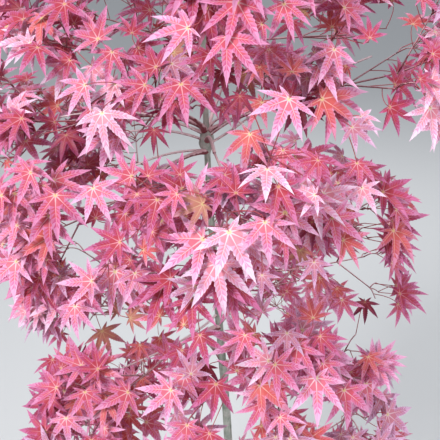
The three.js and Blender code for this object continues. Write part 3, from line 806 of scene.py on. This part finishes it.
class HalfLobe:
    """One side of a lobe, from the notch beside it to its tip."""

    def __init__(self, corner, angle, length, hand):
        turn = math.radians(angle)
        self.ahead = np.array([math.cos(turn), math.sin(turn)])
        self.aside = np.array([-math.sin(turn), math.cos(turn)])
        self.hand, self.length = hand, length
        self.notch_along, self.notch_across = corner @ self.ahead, abs(corner @ self.aside)

    def vein_spot(self, share, first):
        along = first + (self.length - first) * share**VEIN_LAG
        thin = VEIN_HALF_WIDTH * (1 - along / self.length)
        return self.ahead * along + self.aside * self.hand * thin

    def width(self, share):
        return lobe_width(share, self.notch_across, self.length)

    def margin_spot(self, share, across):
        along = self.notch_along + (self.length - self.notch_along) * share
        return self.ahead * along + self.aside * self.hand * across


class LeafPattern:
    """The flat leaf's points, how far each is from its vein, its faces and what each shows."""

    def __init__(self):
        self.points, self.offs, self.faces, self.looks = [], [], [], []
        middles = [(a + b) / 2 for (a, _), (b, _) in zip(LOBES, LOBES[1:])]
        self.bounds = [-HEEL_ANGLE, *middles, HEEL_ANGLE]
        self.depths = [HEEL_REACH, *NOTCHES, HEEL_REACH]
        self.centre = self.point((0, 0), 0)
        self.hubs = [self.point(leaf_point(angle, HUB_REACH), 0) for angle in self.bounds]
        self.notches = [
            self.point(leaf_point(angle, depth), depth / NOTCH_FLATNESS)
            for angle, depth in zip(self.bounds, self.depths)
        ]
        self.tips = [self.add_lobe(i, angle, length) for i, (angle, length) in enumerate(LOBES)]
        self.face(BLADE, self.centre, self.hubs[-1], self.hubs[0])
        self.finish()

    def point(self, spot, off):
        self.points.append(tuple(spot))
        self.offs.append(off)
        return len(self.points) - 1

    def face(self, look, *corners):
        self.faces.append(corners)
        self.looks.append(look)

    def add_lobe(self, i, angle, length):
        """A lobe from its tip to the hub, and the number of its tip's point."""
        tip = self.point(leaf_point(angle, 1) * length, 0)
        feet = [self.depths[j] * math.cos(math.radians(self.bounds[j] - angle)) for j in (i, i + 1)]
        right = self.add_half(i, tip, np.mean(feet), (angle, length, -1))
        left = self.add_half(i + 1, tip, np.mean(feet), (angle, length, 1))
        self.add_vein(i, right, left)
        return tip

    def add_half(self, side_index, tip, first, lobe):
        """One side of a lobe, and the points along its edge of the vein."""
        half = HalfLobe(np.array(self.points[self.notches[side_index]]), *lobe)
        vein, margin = [], [self.notches[side_index]]
        for k in range(LOBE_STATIONS):
            share = k / LOBE_STATIONS
            vein.append(self.point(half.vein_spot(share, first), 0))
            if k:
                across = MARGIN_SHARE * half.width(share)
                margin.append(self.point(half.margin_spot(share, across), across))
        vein.append(tip)
        margin.append(tip)
        self.add_blade(half, self.hubs[side_index], vein, margin)
        return vein

    def add_blade(self, half, hub, vein, margin):
        """The faces between a vein and the margin, with a tooth on each stretch of margin but the last."""

        def oriented(look, *corners):
            self.face(look, *(reversed(corners) if half.hand < 0 else corners))

        oriented(HEART, hub, vein[0], margin[0])
        for k in range(LOBE_STATIONS):
            # The outer stations and the teeth get the pale edge look: pale margin and painted highlight
            look = HEART if k < HEART_STATIONS else EDGE_AND_HIGHLIGHT if k >= PALE_STATIONS else BLADE
            if k + 1 < LOBE_STATIONS:
                oriented(RIB if k + 1 < PALE_STATIONS else EDGE_AND_HIGHLIGHT, vein[k], margin[k + 1], margin[k])
                oriented(look, vein[k], vein[k + 1], margin[k + 1])
            else:
                oriented(look, vein[k], vein[k + 1], margin[k])
            if k:
                oriented(EDGE_AND_HIGHLIGHT, margin[k - 1], margin[k], self.add_tooth(half, k))

    def add_tooth(self, half, k):
        share = (k - 1 + TOOTH_PLACE) / LOBE_STATIONS
        across = half.width(share) + TOOTH_REACH * half.length * (1 - share)
        return self.point(half.margin_spot(share, across), across)

    def add_vein(self, i, right, left):
        """The vein between the two sides of a lobe, and the hub's faces at its foot."""
        self.face(VEIN, self.hubs[i], right[0], left[0])
        self.face(VEIN, self.hubs[i], left[0], self.hubs[i + 1])
        self.face(HUB, self.centre, self.hubs[i], self.hubs[i + 1])
        for k in range(LOBE_STATIONS):
            look = VEIN if k < VEIN_SHARE * LOBE_STATIONS else BLADE
            self.face(look, right[k], right[k + 1], left[k])
            if k + 1 < LOBE_STATIONS:
                self.face(look, right[k + 1], left[k + 1], left[k])

    def finish(self):
        """Makes arrays of the lists, and the outline that stands for the leaf in tests."""
        self.outline = [self.notches[0]]
        for tip, notch in zip(self.tips, self.notches[1:]):
            self.outline += [tip, notch]
        self.points, self.offs = np.array(self.points), np.array(self.offs)
        self.faces, self.looks = np.array(self.faces), np.array(self.looks)


PATTERN = LeafPattern()


# Leaves, and where they may hang
class Leaf:
    """One leaf: its stalk's line, and its blade bent from the flat pattern."""

    def __init__(self, chance, root, base, forward, normal, length, droop=None):
        self.root, self.base, self.length, self.tint = root, base, length, None
        self.forward, self.normal, self.side = forward, normal, np.cross(normal, forward)
        self.turn, self.stretch = chance(-WARP_TURN, WARP_TURN), chance(-WARP_STRETCH, WARP_STRETCH)
        self.phase, self.curl = chance(0, 2 * np.pi), chance(-CURL, CURL)
        self.droop, self.fold = chance(*DROOP), chance(*FOLD)
        if droop is not None:
            self.droop = droop
        self.outline = self.bent(PATTERN.points[PATTERN.outline], PATTERN.offs[PATTERN.outline])

    def bent(self, points, offs):
        """Points of the flat pattern where this leaf's own folds, droop and curl take them."""
        angle, reach = np.arctan2(points[:, 1], points[:, 0]), np.hypot(points[:, 0], points[:, 1])
        angle = angle + self.turn * np.sin(WARP_WAVES * angle + self.phase)
        reach = reach * (1 + self.stretch * np.cos(WARP_WAVES * angle + self.phase))
        curl = self.curl * np.sin(CURL_WAVES * angle + self.phase) * reach
        lift = self.fold * offs - self.droop * reach**2 + curl
        flat = np.outer(reach * np.cos(angle), self.forward) + np.outer(reach * np.sin(angle), self.side)
        return self.base + self.length * (flat + np.outer(lift, self.normal))

    def blade(self):
        return self.bent(PATTERN.points, PATTERN.offs)

    def measure(self):
        """The lines and triangles with which it is tested against limbs and other leaves."""
        base, outline = self.base, self.outline
        bend = base - self.forward * STALK_BEND * np.linalg.norm(base - self.root)
        self.stalk = bezier(self.root, bend, base, STALK_JOINTS)
        tips = outline[1::2]
        self.edge_starts = np.vstack([outline[:-1], np.repeat(base[None], len(tips), 0), self.stalk[:-1]])
        self.edge_ends = np.vstack([outline[1:], tips, self.stalk[1:]])
        self.tested = np.ones(len(self.edge_starts), bool)
        stalk_start = len(self.tested) - len(self.stalk) + 1
        self.tested[stalk_start : stalk_start + STALK_FREE_PARTS] = False
        fan = [np.repeat(base[None], len(outline) - 1, 0), outline[:-1], outline[1:]]
        self.fan = np.stack(fan, axis=1)

    def meets(self, others):
        near = [leaf for leaf in others if self.is_near(leaf)]
        if not near:
            return False
        if crosses(self.edge_starts, self.edge_ends, np.concatenate([leaf.fan for leaf in near])):
            return True
        starts = np.concatenate([leaf.edge_starts for leaf in near])
        ends = np.concatenate([leaf.edge_ends for leaf in near])
        return crosses(starts, ends, self.fan)

    def is_near(self, other):
        return np.linalg.norm(self.base - other.base) < LEAF_REACH * (self.length + other.length)


def bezier(start, bend, end, joints):
    t = np.linspace(0, 1, joints)[:, None]
    return start * (1 - t) ** 2 + bend * 2 * t * (1 - t) + end * t**2


def leaf_at(mass, site, size):
    """How a leaf hangs: its face up, outward and a little to the front, its tips down."""
    root, along, away = site
    chance = mass.chance
    rise, lean = UP * chance(*STALK_UP), FRONT * chance(*STALK_FRONT)
    stalk = unit(STALK_ALONG * along + STALK_AWAY * away + rise + lean)
    base = root + stalk * STALK_LENGTH * size * chance(*STALK_STRETCH)
    outward = base - trunk_point(base[2])
    outward[2] = 0
    outward = unit(outward)
    normal = unit(UP * chance(*FACE_UP) + outward * chance(*FACE_OUT) + FRONT * chance(*FACE_FRONT))
    stray = drawn(chance, (TIP_STRAY, TIP_STRAY, TIP_STRAY_UP))
    forward = square_to(stalk + outward * TIP_OUT - UP * TIP_SAG + stray, normal)
    length = LEAF_LENGTH * size * (1 + chance(-LEAF_SPREAD, LEAF_SPREAD))
    if stalk.dot(normal) < STALK_RISE:
        return None
    return Leaf(chance, root, base, forward, normal, length)


# Pixels of the photo, and the clear sights through the crown
def in_photo(points):
    """Where points are seen in the photo, and how far ahead of the camera they are."""
    away = np.atleast_2d(points) - EYE
    depth = away @ AHEAD
    u = FRAME_PIXELS / 2 + FOCAL_PIXELS * away[:, 0] / depth
    v = FRAME_PIXELS / 2 - FOCAL_PIXELS * (away @ OVERHEAD) / depth
    return u, v, depth


def at_pixel(u, v, depth):
    """The point seen at a pixel of the photo, that far ahead of the camera."""
    middle = FRAME_PIXELS / 2
    aside, above = (u - middle) / FOCAL_PIXELS, (middle - v) / FOCAL_PIXELS
    return EYE + depth * (AHEAD + aside * RIGHT + above * OVERHEAD)


def on_trunk_plane(u, v):
    """The point seen at a pixel of the photo on the upright plane through the trunk."""
    sight = at_pixel(u, v, 1) - EYE
    return EYE - sight * EYE[1] / sight[1]


def gap_clearing(u, v, half_wide, half_high):
    """A gap seen in the photo as a clearing, to whole millimetres."""
    middle, right = on_trunk_plane(u, v)[0], on_trunk_plane(u + half_wide, v)[0]
    low, high = on_trunk_plane(u, v + half_high)[2], on_trunk_plane(u, v - half_high)[2]
    wide, tall = right - middle, (high - low) / 2
    return dict(x=round(middle), z=round((low + high) / 2), half_wide=round(wide), half_high=round(tall))


EVERY_CLEARING = CLEARINGS + FINE_CLEARINGS + [gap_clearing(**gap) for gap in SEEN_GAPS]


def in_clearing(points):
    """Which of the points the camera sees through a clearing."""
    share = -EYE[1] / (points[:, 1] - EYE[1])
    x = EYE[0] + (points[:, 0] - EYE[0]) * share
    z = EYE[2] + (points[:, 2] - EYE[2]) * share
    inside = []
    for clearing in EVERY_CLEARING:
        across = (x - clearing["x"]) / clearing["half_wide"]
        upward = (z - clearing["z"]) / clearing["half_high"]
        inside.append(across**2 + upward**2 < 1)
    return np.any(inside, axis=0)


def veils(leaf, shown):
    """Whether a leaf would hang right in front of one that stands out in the photo."""
    if not shown:
        return False
    u, v, depth = in_photo(leaf.base)
    rows = [(other.u, other.v, other.depth, other.lobe) for other in shown]
    shown_u, shown_v, shown_depth, shown_lobe = np.array(rows).T
    apart = np.hypot(shown_u - u, shown_v - v)
    return bool(((shown_depth > depth) & (apart < VEIL_SHARE * shown_lobe)).any())


def leaf_fits(mass, leaf, shown):
    """Whether a leaf keeps to its mass's space, out of the clearings and off all that is there."""
    corners = np.vstack([leaf.outline, leaf.base[None]])
    if (corners < LOW_CORNER).any() or (corners > HIGH_CORNER).any() or not mass.holds(corners):
        return False
    if in_clearing(corners).sum() > CLEARING_CORNERS or veils(leaf, shown):
        return False
    return leaf_clear(mass, leaf, shown)


def leaf_clear(mass, leaf, shown):
    """Whether a leaf keeps off the limbs, the twigs of its mass and the leaves that are there."""
    leaf.measure()
    edges = leaf.edge_starts[leaf.tested], leaf.edge_ends[leaf.tested]
    for rods, room in ((mass.limbs, LEAF_MARGIN), (mass.rods, LEAF_MARGIN / 2)):
        if not rods.clear_of(*edges, room):
            return False
        if crosses(np.array(rods.starts), np.array(rods.ends), leaf.fan):
            return False
    return not leaf.meets(mass.leaves + shown)


def grow_twigs(mass, limbs):
    """A mass's twigs and shoots, and the places for its leaves."""
    mass.limbs = limbs.near(mass.centre, MASS_REACH)
    grow_twig(mass, mass.start, mass.heading, mass.length, STEM_RADIUS, 1)
    mass.spots = []
    for site in mass.sites:
        mass.spots += grow_shoot(mass, site)
    mass.spots += [(site, 1.0) for site in middle_sites(mass)]
    mass.rods = Rods()
    for twig in mass.twigs:
        for start, end in zip(twig.line, twig.line[1:]):
            mass.rods.add(start, end, twig.radius)


def grow_leaves(mass, shown):
    """A leaf at each place, tried a few times over until it fits, with young ones only here and there."""
    for site, size in mass.spots:
        if size < 1 and mass.chance(0, 1) > YOUNG_LEAF_CHANCE:
            continue
        for _ in range(LEAF_ATTEMPTS):
            leaf = leaf_at(mass, site, size)
            if leaf and leaf_fits(mass, leaf, shown):
                mass.leaves.append(leaf)
                break


# What stands out in the photo
def seen_bough(seen):
    """A thin bough as the photo shows it, from the trunk's middle to its end."""
    foot = trunk_point(seen["z"])
    depth = (foot - EYE) @ AHEAD
    through = at_pixel(*seen["through"], depth - seen["nearer"] / 2)
    end = at_pixel(*seen["to"], depth - seen["nearer"])
    bend = 2 * through - (foot + end) / 2
    return bezier(foot, bend, end, THIN_BOUGH_JOINTS)


def add_seen_boughs(masses, limbs):
    """Puts the thin boughs among the limbs, and each in the mass nearest to its end."""
    for line in map(seen_bough, SEEN_BOUGHS):
        for start, end in zip(line, line[1:]):
            limbs.add(start, end, THIN_BOUGH_RADIUS)
        nearest = min(masses, key=lambda mass: np.linalg.norm(mass.centre - line[-1]))
        nearest.thin_boughs.append(line)


def seen_leaf(seen, root, chance):
    """A leaf that looks as one in the photo does, on a stalk from a point of a twig."""
    depth = (root - EYE) @ AHEAD - chance(*SEEN_PULL)
    base = at_pixel(seen.u, seen.v, depth)
    length = SEEN_STRETCH * seen.lobe * depth / FOCAL_PIXELS
    normal = unit(-AHEAD + UP * chance(*SEEN_UP) + RIGHT * chance(*SEEN_ASIDE))
    aim = math.radians(seen.aim)
    forward = square_to(RIGHT * math.cos(aim) + OVERHEAD * math.sin(aim), normal)
    if not SEEN_LENGTHS[0] < length < SEEN_LENGTHS[1]:
        return None
    if not TINY < np.linalg.norm(base - root) < SEEN_REACH:
        return None
    leaf = Leaf(chance, root, base, forward, normal, length, seen.hang)
    leaf.u, leaf.v, leaf.lobe, leaf.tint = seen.u, seen.v, seen.lobe, seen.tint
    leaf.depth = depth
    return leaf


def show_leaves(masses):
    """The leaves that stand out in the photo, each on the twig that carries it best."""
    chance = seeded(SEEN_SEED)
    shown = []
    roots = [(mass, root) for mass in masses for twig in mass.twigs for root in twig.line[1:]]
    roots += [(mass, line[-1]) for mass in masses for line in mass.thin_boughs]
    u, v, depth = in_photo(np.array([root for _, root in roots]))
    for seen in (SimpleNamespace(**leaf) for leaf in SEEN_LEAVES):
        apart = np.hypot(u - seen.u, v - seen.v) * depth / FOCAL_PIXELS
        cost = depth + STALK_CARE * abs(apart - USUAL_STALK)
        for pick in [i for i in np.argsort(cost) if apart[i] < SEEN_REACH][:SEEN_TRIES]:
            mass, root = roots[pick]
            leaf = seen_leaf(seen, root, chance)
            if leaf and not veils(leaf, shown) and leaf_clear(mass, leaf, shown):
                leaf.mass = mass
                shown.append(leaf)
                break
    return shown


# The whole crown
def grow(masses, limbs):
    """First all twigs, then the boughs and leaves seen in the photo, then the leaves that fit between."""
    for mass in masses:
        grow_twigs(mass, limbs)
    add_seen_boughs(masses, limbs)
    for mass in masses:
        mass.limbs = limbs.near(mass.centre, MASS_REACH)
    shown = show_leaves(masses)
    for mass in masses:
        grow_leaves(mass, shown)
    for leaf in shown:
        leaf.mass.leaves.append(leaf)
    for mass in masses:
        prune(mass)


def carries(twig, points):
    """Whether any of the points lies on the outer part of a twig."""
    starts, ends = np.array(twig.line[:-1]), np.array(twig.line[1:])
    starts[0] += PRUNE_FROM * (ends[0] - starts[0])
    along = ends - starts
    away = points[:, None] - starts
    share = np.clip((away * along).sum(-1) / (along * along).sum(-1), 0, 1)
    return bool((np.linalg.norm(away - share[..., None] * along, axis=-1) < PRUNE_REACH).any())


def prune(mass):
    """Takes away the shoots that carry no leaf, and then the side twigs left bare."""
    roots = [leaf.root for leaf in mass.leaves]
    for _ in range(PRUNE_ROUNDS):
        kept = []
        for twig in mass.twigs:
            held = roots + [other.line[0] for other in mass.twigs if other is not twig]
            if twig.stem or carries(twig, np.array(held)):
                kept.append(twig)
        mass.twigs = kept


# Meshes from arrays
def mesh_object(name, points, faces, materials, looks=None):
    mesh = bpy.data.meshes.new(name)
    mesh.vertices.add(len(points))
    mesh.vertices.foreach_set("co", (np.asarray(points) * MM).astype(np.float32).ravel())
    mesh.loops.add(3 * len(faces))
    mesh.loops.foreach_set("vertex_index", np.asarray(faces, np.int32).ravel())
    mesh.polygons.add(len(faces))
    mesh.polygons.foreach_set("loop_start", np.arange(0, 3 * len(faces), 3, dtype=np.int32))
    for material in materials:
        mesh.materials.append(material)
    if looks is not None:
        mesh.polygons.foreach_set("material_index", np.asarray(looks, np.int32))
    mesh.polygons.foreach_set("use_smooth", np.ones(len(faces), bool))
    mesh.update(calc_edges=True)
    mesh.validate()
    piece = bpy.data.objects.new(name, mesh)
    bpy.context.scene.collection.objects.link(piece)
    return piece


def tube_faces(rings, sides):
    """A closed tube's triangles, where the middles of its two ends come after the points of its rings."""
    step = np.arange(sides)
    following = (step + 1) % sides
    faces = []
    for i in range(rings - 1):
        a, b = i * sides + step, i * sides + following
        faces += [np.stack([a, b, b + sides], 1), np.stack([a, b + sides, a + sides], 1)]
    middle, last = rings * sides, (rings - 1) * sides
    faces.append(np.stack([np.full(sides, middle), following, step], 1))
    faces.append(np.stack([np.full(sides, middle + 1), last + step, last + following], 1))
    return np.vstack(faces)


def tube(line, radii, sides):
    """A closed tube round a line of points: its points and its triangles."""
    line, radii = np.asarray(line, float), np.asarray(radii, float)
    tangents = np.gradient(line, axis=0)
    across = square_to(UP if abs(unit(tangents[0])[2]) < STEEP else FRONT, unit(tangents[0]))
    angles = 2 * np.pi * np.arange(sides) / sides
    rings = []
    for point, tangent, radius in zip(line, map(unit, tangents), radii):
        across = square_to(across, tangent)
        over = np.cross(tangent, across)
        ring = np.outer(np.cos(angles) * radius, across) + np.outer(np.sin(angles) * radius, over)
        rings.append(point + ring)
    return np.vstack([*rings, line[:1], line[-1:]]), tube_faces(len(line), sides)


def smooth_line(line, parts):
    """More points on a smooth curve through a line's points."""
    line = [np.asarray(p, float) for p in line]
    line = [2 * line[0] - line[1], *line, 2 * line[-1] - line[-2]]
    points = []
    for i in range(1, len(line) - 2):
        a, b, c, d = line[i - 1 : i + 3]
        slope, bend, twist = c - a, 2 * a - 5 * b + 4 * c - d, 3 * b - a - 3 * c + d
        for t in np.arange(parts) / parts:
            points.append(0.5 * (2 * b + slope * t + bend * t**2 + twist * t**3))
    points.append(line[-2])
    return points


def joined(parts):
    """Many (points, faces) as one."""
    points, faces, count = [], [], 0
    for part_points, part_faces in parts:
        points.append(part_points)
        faces.append(part_faces + count)
        count += len(part_points)
    return np.vstack(points), np.vstack(faces)


# Materials
def linear(code):
    """A colour code's red, green and blue as linear light, by the sRGB curve."""
    shares = [int(code[i : i + 2], 16) / 255 for i in (0, 2, 4)]
    return [s / 12.92 if s <= 0.04045 else ((s + 0.055) / 1.055) ** 2.4 for s in shares] + [1.0]


def new_material(name, roughness):
    material = bpy.data.materials.new(name)
    material.use_nodes = True
    shader = material.node_tree.nodes["Principled BSDF"]
    shader.inputs["Roughness"].default_value = roughness
    return material, material.node_tree, shader


def noise(tree, scale, detail, stretch=(1, 1, 1)):
    """Noise in the tree's own space, at a scale in waves a metre."""
    place = tree.nodes.new("ShaderNodeTexCoord")
    mapping = tree.nodes.new("ShaderNodeMapping")
    mapping.inputs["Scale"].default_value = stretch
    texture = tree.nodes.new("ShaderNodeTexNoise")
    texture.inputs["Scale"].default_value = scale
    texture.inputs["Detail"].default_value = detail
    tree.links.new(place.outputs["Object"], mapping.inputs["Vector"])
    tree.links.new(mapping.outputs["Vector"], texture.inputs["Vector"])
    return texture.outputs["Fac"]


def ramp(tree, value, stops):
    node = tree.nodes.new("ShaderNodeValToRGB")
    while len(node.color_ramp.elements) < len(stops):
        node.color_ramp.elements.new(0.5)
    for element, (place, colour) in zip(node.color_ramp.elements, stops):
        element.position = place
        element.color = colour
    tree.links.new(value, node.inputs["Fac"])
    return node.outputs["Color"]


def bump(tree, shader, height, grain):
    node = tree.nodes.new("ShaderNodeBump")
    node.inputs["Strength"].default_value = grain["strength"]
    node.inputs["Distance"].default_value = grain["depth"]
    tree.links.new(height, node.inputs["Height"])
    tree.links.new(node.outputs["Normal"], shader.inputs["Normal"])


def grey(share):
    return [share, share, share, 1.0]


def leaf_material(name, code, roughness):
    """A leaf's plain tint with fine puckers between its veins and a soft uneven gloss."""
    material, tree, shader = new_material(name, roughness)
    shader.inputs["Base Color"].default_value = linear(code)
    shader.inputs["Specular IOR Level"].default_value = LEAF_SPECULAR
    shader.inputs["Sheen Weight"].default_value = LEAF_SHEEN
    bump(tree, shader, noise(tree, PUCKER["scale"], PUCKER["detail"]), PUCKER)
    stops = [(place, grey(roughness + change)) for place, change in zip(GLOSS_STOPS, GLOSS_CHANGE)]
    gloss = ramp(tree, noise(tree, GLOSS_SCALE, GLOSS_DETAIL), stops)
    tree.links.new(gloss, shader.inputs["Roughness"])
    return material


def trunk_material():
    """Mottled bark with upright streaks."""
    material, tree, shader = new_material("trunk_bark", TRUNK_ROUGHNESS)
    tones = [linear(tone) for tone in TRUNK_TONES]
    mottle = noise(tree, MOTTLE["scale"], MOTTLE["detail"])
    mottle = ramp(tree, mottle, list(zip(MOTTLE["stops"], tones)))
    lines = noise(tree, STREAKS["scale"], STREAKS["detail"], STREAKS["stretch"])
    mix = tree.nodes.new("ShaderNodeMix")
    mix.data_type = "RGBA"
    mix.inputs["Factor"].default_value = STREAK_SHARE
    first, second = [socket for socket in mix.inputs if socket.type == "RGBA"]
    streaks = ramp(tree, lines, list(zip(STREAKS["stops"], (linear(TRUNK_STREAK), tones[1]))))
    tree.links.new(streaks, second)
    tree.links.new(mottle, first)
    mixed = next(socket for socket in mix.outputs if socket.type == "RGBA")
    tree.links.new(mixed, shader.inputs["Base Color"])
    bump(tree, shader, lines, STREAKS)
    return material


def young_bark(name, below, above, bloom_and_highlight, roughness):
    """Young bark: one colour below, and paler where it faces up: its pale bloom with a painted highlight
    from the light above.
    """
    material, tree, shader = new_material(name, roughness)
    geometry = tree.nodes.new("ShaderNodeNewGeometry")
    separate = tree.nodes.new("ShaderNodeSeparateXYZ")
    tree.links.new(geometry.outputs["Normal"], separate.inputs["Vector"])
    # Painted highlight: the more a face points up, the nearer its colour comes to the pale top colour
    add = tree.nodes.new("ShaderNodeMath")
    add.operation = "MULTIPLY_ADD"
    add.inputs[1].default_value = BLOOM_AND_HIGHLIGHT_UP
    tree.links.new(separate.outputs["Z"], add.inputs[0])
    tree.links.new(noise(tree, BLOOM_AND_HIGHLIGHT_SCALE, BLOOM_AND_HIGHLIGHT_DETAIL), add.inputs[2])
    tone = ramp(tree, add.outputs[0], list(zip(bloom_and_highlight, (linear(below), linear(above)))))
    tree.links.new(tone, shader.inputs["Base Color"])
    bump(tree, shader, noise(tree, YOUNG_GRAIN["scale"], YOUNG_GRAIN["detail"]), YOUNG_GRAIN)
    return material


# Pieces
def trunk_relief(z, angles):
    """How far the trunk's skin stands out at a height: its flared foot, the knob's lumps and the bark."""
    foot = FLARE_RADIUS * np.exp(-z / FLARE_HEIGHT) * (1 + FLARE_LOBES * np.cos(FLARE_ROOTS * angles))
    ribs = np.sin(KNOB_RIBS * angles + z / KNOB_RIB_PITCH)
    knots = np.cos(KNOB_KNOTS * angles - z / KNOB_KNOT_PITCH)
    patches = np.sin(z / BARK_PATCH_PITCH + BARK_PATCHES * angles)
    ridges = np.sin(BARK_RIDGES * angles + z / BARK_RIDGE_PITCH) * patches
    lines = BARK_LINE_SHARE * np.sin(BARK_LINES * angles - z / BARK_LINE_PITCH)
    bark = BARK_DEPTH * trunk_radius(z) * (ridges + lines)
    return foot + KNOB_LUMPS * KNOB_SWELL * knob_at(z) * (ribs + knots) + bark


def trunk_piece():
    foot = np.linspace(0, FOOT_HEIGHT, FOOT_RINGS)
    heights = np.unique([*foot, *np.arange(FOOT_HEIGHT, TRUNK_TOP, TRUNK_RING_STEP), TRUNK_TOP])
    angles = 2 * np.pi * np.arange(TRUNK_SIDES) / TRUNK_SIDES
    rings = []
    for z in heights:
        x, y, _ = trunk_point(z)
        reach = trunk_radius(z) + trunk_relief(z, angles)
        ring = [x + reach * np.sin(angles), y - reach * np.cos(angles), np.full(TRUNK_SIDES, z)]
        rings.append(np.stack(ring, 1))
    points = np.vstack([*rings, [trunk_point(heights[0])], [trunk_point(heights[-1])]])
    faces = tube_faces(len(heights), TRUNK_SIDES)
    piece = mesh_object("trunk_bark_relief", points, faces, [trunk_material()])
    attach(piece, "root")
    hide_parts("trunk")


def bough_tube(bough):
    """A bough with slight swellings along it and a collar where it leaves the trunk."""
    line = smooth_line(bough.line, BOUGH_PARTS)
    shares = np.linspace(0, 1, len(line))
    radii = np.interp(shares, np.linspace(0, 1, len(bough.radii)), bough.radii)
    radii = radii * (1 + BOUGH_SWELLING * np.sin(np.arange(len(line)) * BOUGH_SWELLING_TURN))
    out = np.linalg.norm(np.array(line) - line[0], axis=1) - trunk_radius(bough.z)
    radii = radii + COLLAR_SWELL * np.exp(-np.maximum(out, 0) / COLLAR_LENGTH)
    return tube(line, radii, BOUGH_SIDES)


def boughs_piece(boughs):
    points, faces = joined([bough_tube(bough) for bough in boughs])
    piece = mesh_object("boughs_bark_relief", points, faces, [young_bark("bough_bark", **BOUGH_BARK)])
    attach(piece, "root")
    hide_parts(*[f"{bough.name}_bough" for bough in boughs])


def twig_tube(twig):
    line = smooth_line(twig.line, TWIG_PARTS)
    if twig.radius > SHOOT_RADIUS:
        ends = twig.radius * TWIG_REAL_THINNING, TWIG_TIP_RADIUS * TWIG_REAL_THINNING
    else:
        ends = twig.radius, SHOOT_TIP_RADIUS
    return tube(line, np.linspace(*ends, len(line)), TWIG_SIDES)


def twigs_piece(masses):
    points, faces = joined([twig_tube(twig) for mass in masses for twig in mass.twigs])
    piece = mesh_object("twigs", points, faces, [young_bark("twig_bark", **TWIG_BARK)])
    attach(piece, "root")
    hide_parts(*[mass.name for mass in masses])


def thin_bough_tube(line):
    line = smooth_line(line, THIN_BOUGH_PARTS)
    radii = np.linspace(THIN_BOUGH_RADIUS, THIN_BOUGH_TIP_RADIUS, len(line))
    return tube(line, radii, THIN_BOUGH_SIDES)


def thin_boughs_piece(masses):
    points, faces = joined([thin_bough_tube(line) for mass in masses for line in mass.thin_boughs])
    piece = mesh_object("thin_boughs", points, faces, [young_bark("thin_bough_bark", **THIN_BOUGH_BARK)])
    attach(piece, "root")


def stalks_piece(masses):
    radii = np.linspace(STALK_RADIUS * STALK_SWELL, STALK_RADIUS, STALK_JOINTS)
    leaves = [leaf for mass in masses for leaf in mass.leaves]
    points, faces = joined([tube(leaf.stalk, radii, STALK_SIDES) for leaf in leaves])
    material = leaf_material("stalk_skin", STALK_COLOUR, STALK_ROUGHNESS)
    piece = mesh_object("leaf_stalks", points, faces, [material])
    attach(piece, "root")


def leaf_pieces(masses):
    """One piece for each tint that has leaves, whose faces show what LOOKS names."""
    for name, codes in TINTS.items():
        leaves = [leaf for mass in masses for leaf in mass.leaves if leaf.tint == name]
        if not leaves:
            continue
        points, faces = joined([(leaf.blade(), PATTERN.faces) for leaf in leaves])
        looks = np.tile(PATTERN.looks, len(leaves))
        kinds = zip(LOOKS, codes)
        materials = [leaf_material(f"leaf_{name}_{kind}", code, LEAF_ROUGHNESS) for kind, code in kinds]
        piece = mesh_object(f"leaves_{name}", points, faces, materials, looks)
        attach(piece, "root")


# Dealing the tints
def sprays_of(mass):
    """The leaves of a mass, gathered by the twig whose end is nearest to their roots."""
    ends = np.array([twig.line[-1] for twig in mass.twigs if twig.radius > SHOOT_RADIUS])
    sprays = [[] for _ in ends]
    for leaf in mass.leaves:
        sprays[np.argmin(np.linalg.norm(ends - leaf.root, axis=1))].append(leaf)
    return [spray for spray in sprays if spray]


# Painted shade inside the crown, with older leaves: the nearer the trunk, the likelier a dark inner tint
def drawn_tint(leaf, chance):
    outward = np.linalg.norm((leaf.base - trunk_point(leaf.base[2]))[:2])
    tints = OUTER_TINTS if chance(0, 1) < OUTER_SHARE + outward / OUTER_REACH else INNER_AND_SHADED_TINTS
    return tints[int(chance(0, len(tints)))]


def deal_tints(masses):
    """Deals each spray a tint, which about half of its leaves keep. Leaves seen in the photo have theirs."""
    chance = seeded(TINT_SEED)
    for mass in masses:
        for spray in sprays_of(mass):
            common = drawn_tint(spray[0], chance)
            for leaf in spray:
                own = drawn_tint(leaf, chance)
                dealt = common if chance(0, 1) < SPRAY_SHARE else own
                leaf.tint = leaf.tint or dealt


# The studio
def floor():
    bpy.ops.mesh.primitive_plane_add(size=FLOOR_SIZE)
    plane = bpy.context.object
    plane.name = "floor"
    material, _, shader = new_material("floor_paper", FLOOR_ROUGHNESS)
    shader.inputs["Base Color"].default_value = linear(FLOOR_COLOUR)
    plane.data.materials.append(material)


def studio_light():
    world = bpy.data.worlds.new("studio")
    bpy.context.scene.world = world
    world.use_nodes = True
    background = world.node_tree.nodes["Background"]
    background.inputs["Color"].default_value = linear(WORLD_COLOUR)
    background.inputs["Strength"].default_value = WORLD_STRENGTH
    for row in LIGHTS:
        light = bpy.data.lights.new(row["name"], "AREA")
        light.size = row["size"]
        light.energy = row["power"]
        lamp = bpy.data.objects.new(row["name"], light)
        lamp.location = row["place"]
        lamp.rotation_euler = [math.radians(angle) for angle in row["turn"]]
        bpy.context.scene.collection.objects.link(lamp)


def camera():
    data = bpy.data.cameras.new("photo_camera")
    data.sensor_width = SENSOR_WIDTH
    data.lens = SENSOR_WIDTH * FOCAL_PIXELS / FRAME_PIXELS
    data.clip_end = CAMERA_SIGHT
    eye = bpy.data.objects.new("photo_camera", data)
    eye.location = [x * MM for x in EYE]
    eye.rotation_euler = (math.radians(90 - CAMERA_PITCH), 0, 0)
    bpy.context.scene.collection.objects.link(eye)
    bpy.context.scene.camera = eye


def main():
    boughs = bough_plan()
    limbs = limb_rods(boughs)
    masses = mass_plan(boughs)
    grow(masses, limbs)
    deal_tints(masses)
    trunk_piece()
    boughs_piece(boughs)
    twigs_piece(masses)
    thin_boughs_piece(masses)
    stalks_piece(masses)
    leaf_pieces(masses)
    floor()
    studio_light()
    camera()
    bpy.context.scene.view_settings.view_transform = "Standard"


main()
